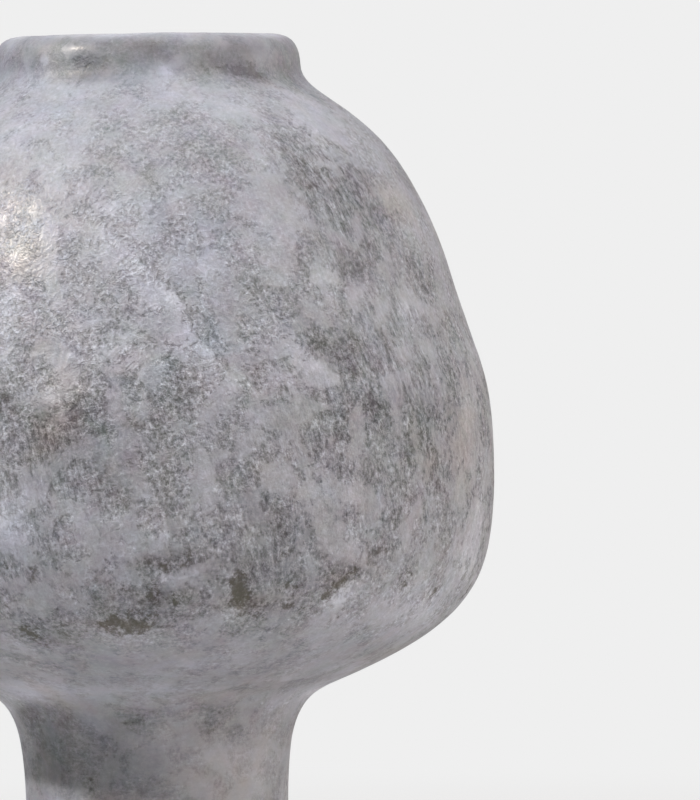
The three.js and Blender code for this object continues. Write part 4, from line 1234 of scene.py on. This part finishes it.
under = [(r, BASE + WIRE_RINGS * (0.5 - 0.5 * math.cos(2 * math.pi * r / WIRE_PITCH)))
         for r in np.linspace(0, DISC_RADIUS - DISC_EASE, UNDER_POINTS)]
disc_section = [
    *under, (DISC_RADIUS, BASE + DISC_EASE), (DISC_RADIUS, DISC_TOP - DISC_EASE),
    (DISC_RADIUS - DISC_EASE, DISC_TOP), (0, DISC_TOP),
]
shape = bmesh.new()
turn_round(shape, disc_section, CLAY_STEPS, closed=False)
bmesh.ops.recalc_face_normals(shape, faces=shape.faces)
disc_mesh = bpy.data.meshes.new("base_disc_turned")
shape.to_mesh(disc_mesh)
print("base disc open edges:", sum(e.is_boundary for e in shape.edges))
shape.free()
disc = bpy.data.objects.new("base_disc_turned", disc_mesh)
finish_piece(disc, ["base_disc"], clay_material)

# %% [markdown]
# ## Bonding mortar
# A bed of fine cement mortar fills each seam between two sections, and the one between the disc and its
# ledge. Its sand grains are about half a millimetre, and it dries pale and dull.

# %% Cement mortar
SAND_SIZE = 0.5
CEMENT = [(0.3, "8F897F"), (0.7, "C3BEB4")]

mortar_material, tree, output = new_material("sanded_cement_mortar")
place = add_node(tree, "ShaderNodeTexCoord").outputs["Object"]
sand = add_node(tree, "ShaderNodeTexNoise", {
    "Vector": place, "Scale": 1 / (SAND_SIZE * MM), "Detail": 3, "Roughness": 0.7})
cement = add_node(tree, "ShaderNodeValToRGB", {"Fac": sand.outputs["Fac"]})
for stop, (position, colour) in zip(cement.color_ramp.elements, CEMENT):
    stop.position = position
    stop.color = linear(colour)
relief = add_node(tree, "ShaderNodeBump", {
    "Height": sand.outputs["Fac"], "Strength": 0.7, "Distance": 0.3 * MM})
surface = add_node(tree, "ShaderNodeBsdfPrincipled", {
    "Base Color": cement.outputs["Color"], "Roughness": 0.95, "Normal": relief.outputs["Normal"]})
tree.links.new(surface.outputs[0], output.inputs["Surface"])
print(mortar_material.name, "nodes:", len(tree.nodes))

# %% Lay the mortar beds
BEDS = {
    # node: inner radius, outer radius, lower face
    "base_bond_ring": (radius_at(inside_face, LEDGE), DISC_RADIUS - DISC_EASE, DISC_TOP),
    "neck_bond_ring": (neck["socket"], radius_at(clay_face, neck["land"]), neck["land"]),
    "belly_bond_ring": (belly["socket"], radius_at(clay_face, belly["land"]), belly["land"]),
    "collar_bond_ring": (collar["socket"], radius_at(clay_face, collar["seat"]), collar["land"]),
}
for node, (inner, outer_radius, low) in BEDS.items():
    bed = [(outer_radius, low), (outer_radius, low + BOND), (inner, low + BOND), (inner, low)]
    finish_piece(turn_piece(node + "_bed", bed), [node], mortar_material)

# %% [markdown]
# ## Felt pads
# Four round pads of pressed wool felt keep the base off the table. They are punched from sheet, so their
# edges are square with a slight roll. A cylinder with a small bevel gives that, and the felt's fibres
# come from its material.

# %% Pressed wool felt
FIBRE_SIZE = 0.5
WOOL = [(0.3, "2B2A2A"), (0.75, "55524F")]

felt_material, tree, output = new_material("pressed_wool_felt")
place = add_node(tree, "ShaderNodeTexCoord").outputs["Object"]
fibres = add_node(tree, "ShaderNodeTexNoise", {
    "Vector": place, "Scale": 1 / (FIBRE_SIZE * MM), "Detail": 4, "Roughness": 0.8, "Distortion": 2.0})
wool = add_node(tree, "ShaderNodeValToRGB", {"Fac": fibres.outputs["Fac"]})
for stop, (position, colour) in zip(wool.color_ramp.elements, WOOL):
    stop.position = position
    stop.color = linear(colour)
relief = add_node(tree, "ShaderNodeBump", {
    "Height": fibres.outputs["Fac"], "Strength": 0.8, "Distance": 0.5 * MM})
surface = add_node(tree, "ShaderNodeBsdfPrincipled", {
    "Base Color": wool.outputs["Color"], "Roughness": 1.0, "Sheen Weight": 0.35, "Sheen Roughness": 0.5,
    "Normal": relief.outputs["Normal"]})
tree.links.new(surface.outputs[0], output.inputs["Surface"])
print(felt_material.name, "nodes:", len(tree.nodes))

# %% Cut the felt pads
PAD_COUNT = 4
PAD_RADIUS = 7
PAD_CIRCLE = 34
PAD_ROLL = 0.5
PAD_SEGMENTS = 48

for number in range(PAD_COUNT):
    turn = number * 2 * math.pi / PAD_COUNT
    middle = Vector((math.cos(turn) * PAD_CIRCLE, math.sin(turn) * PAD_CIRCLE, BASE / 2)) * MM
    shape = bmesh.new()
    bmesh.ops.create_cone(shape, cap_ends=True, segments=PAD_SEGMENTS, radius1=PAD_RADIUS * MM,
                          radius2=PAD_RADIUS * MM, depth=BASE * MM, matrix=Matrix.Translation(middle))
    rims = [e for e in shape.edges if any(len(f.verts) > 4 for f in e.link_faces)]
    bmesh.ops.bevel(shape, geom=rims, offset=PAD_ROLL * MM, segments=3, profile=0.5, affect="EDGES",
                    material=-1)
    name = f"felt_pad_{number + 1}"
    mesh = bpy.data.meshes.new(name + "_punched")
    shape.to_mesh(mesh)
    shape.free()
    finish_piece(bpy.data.objects.new(name + "_punched", mesh), [name], felt_material)
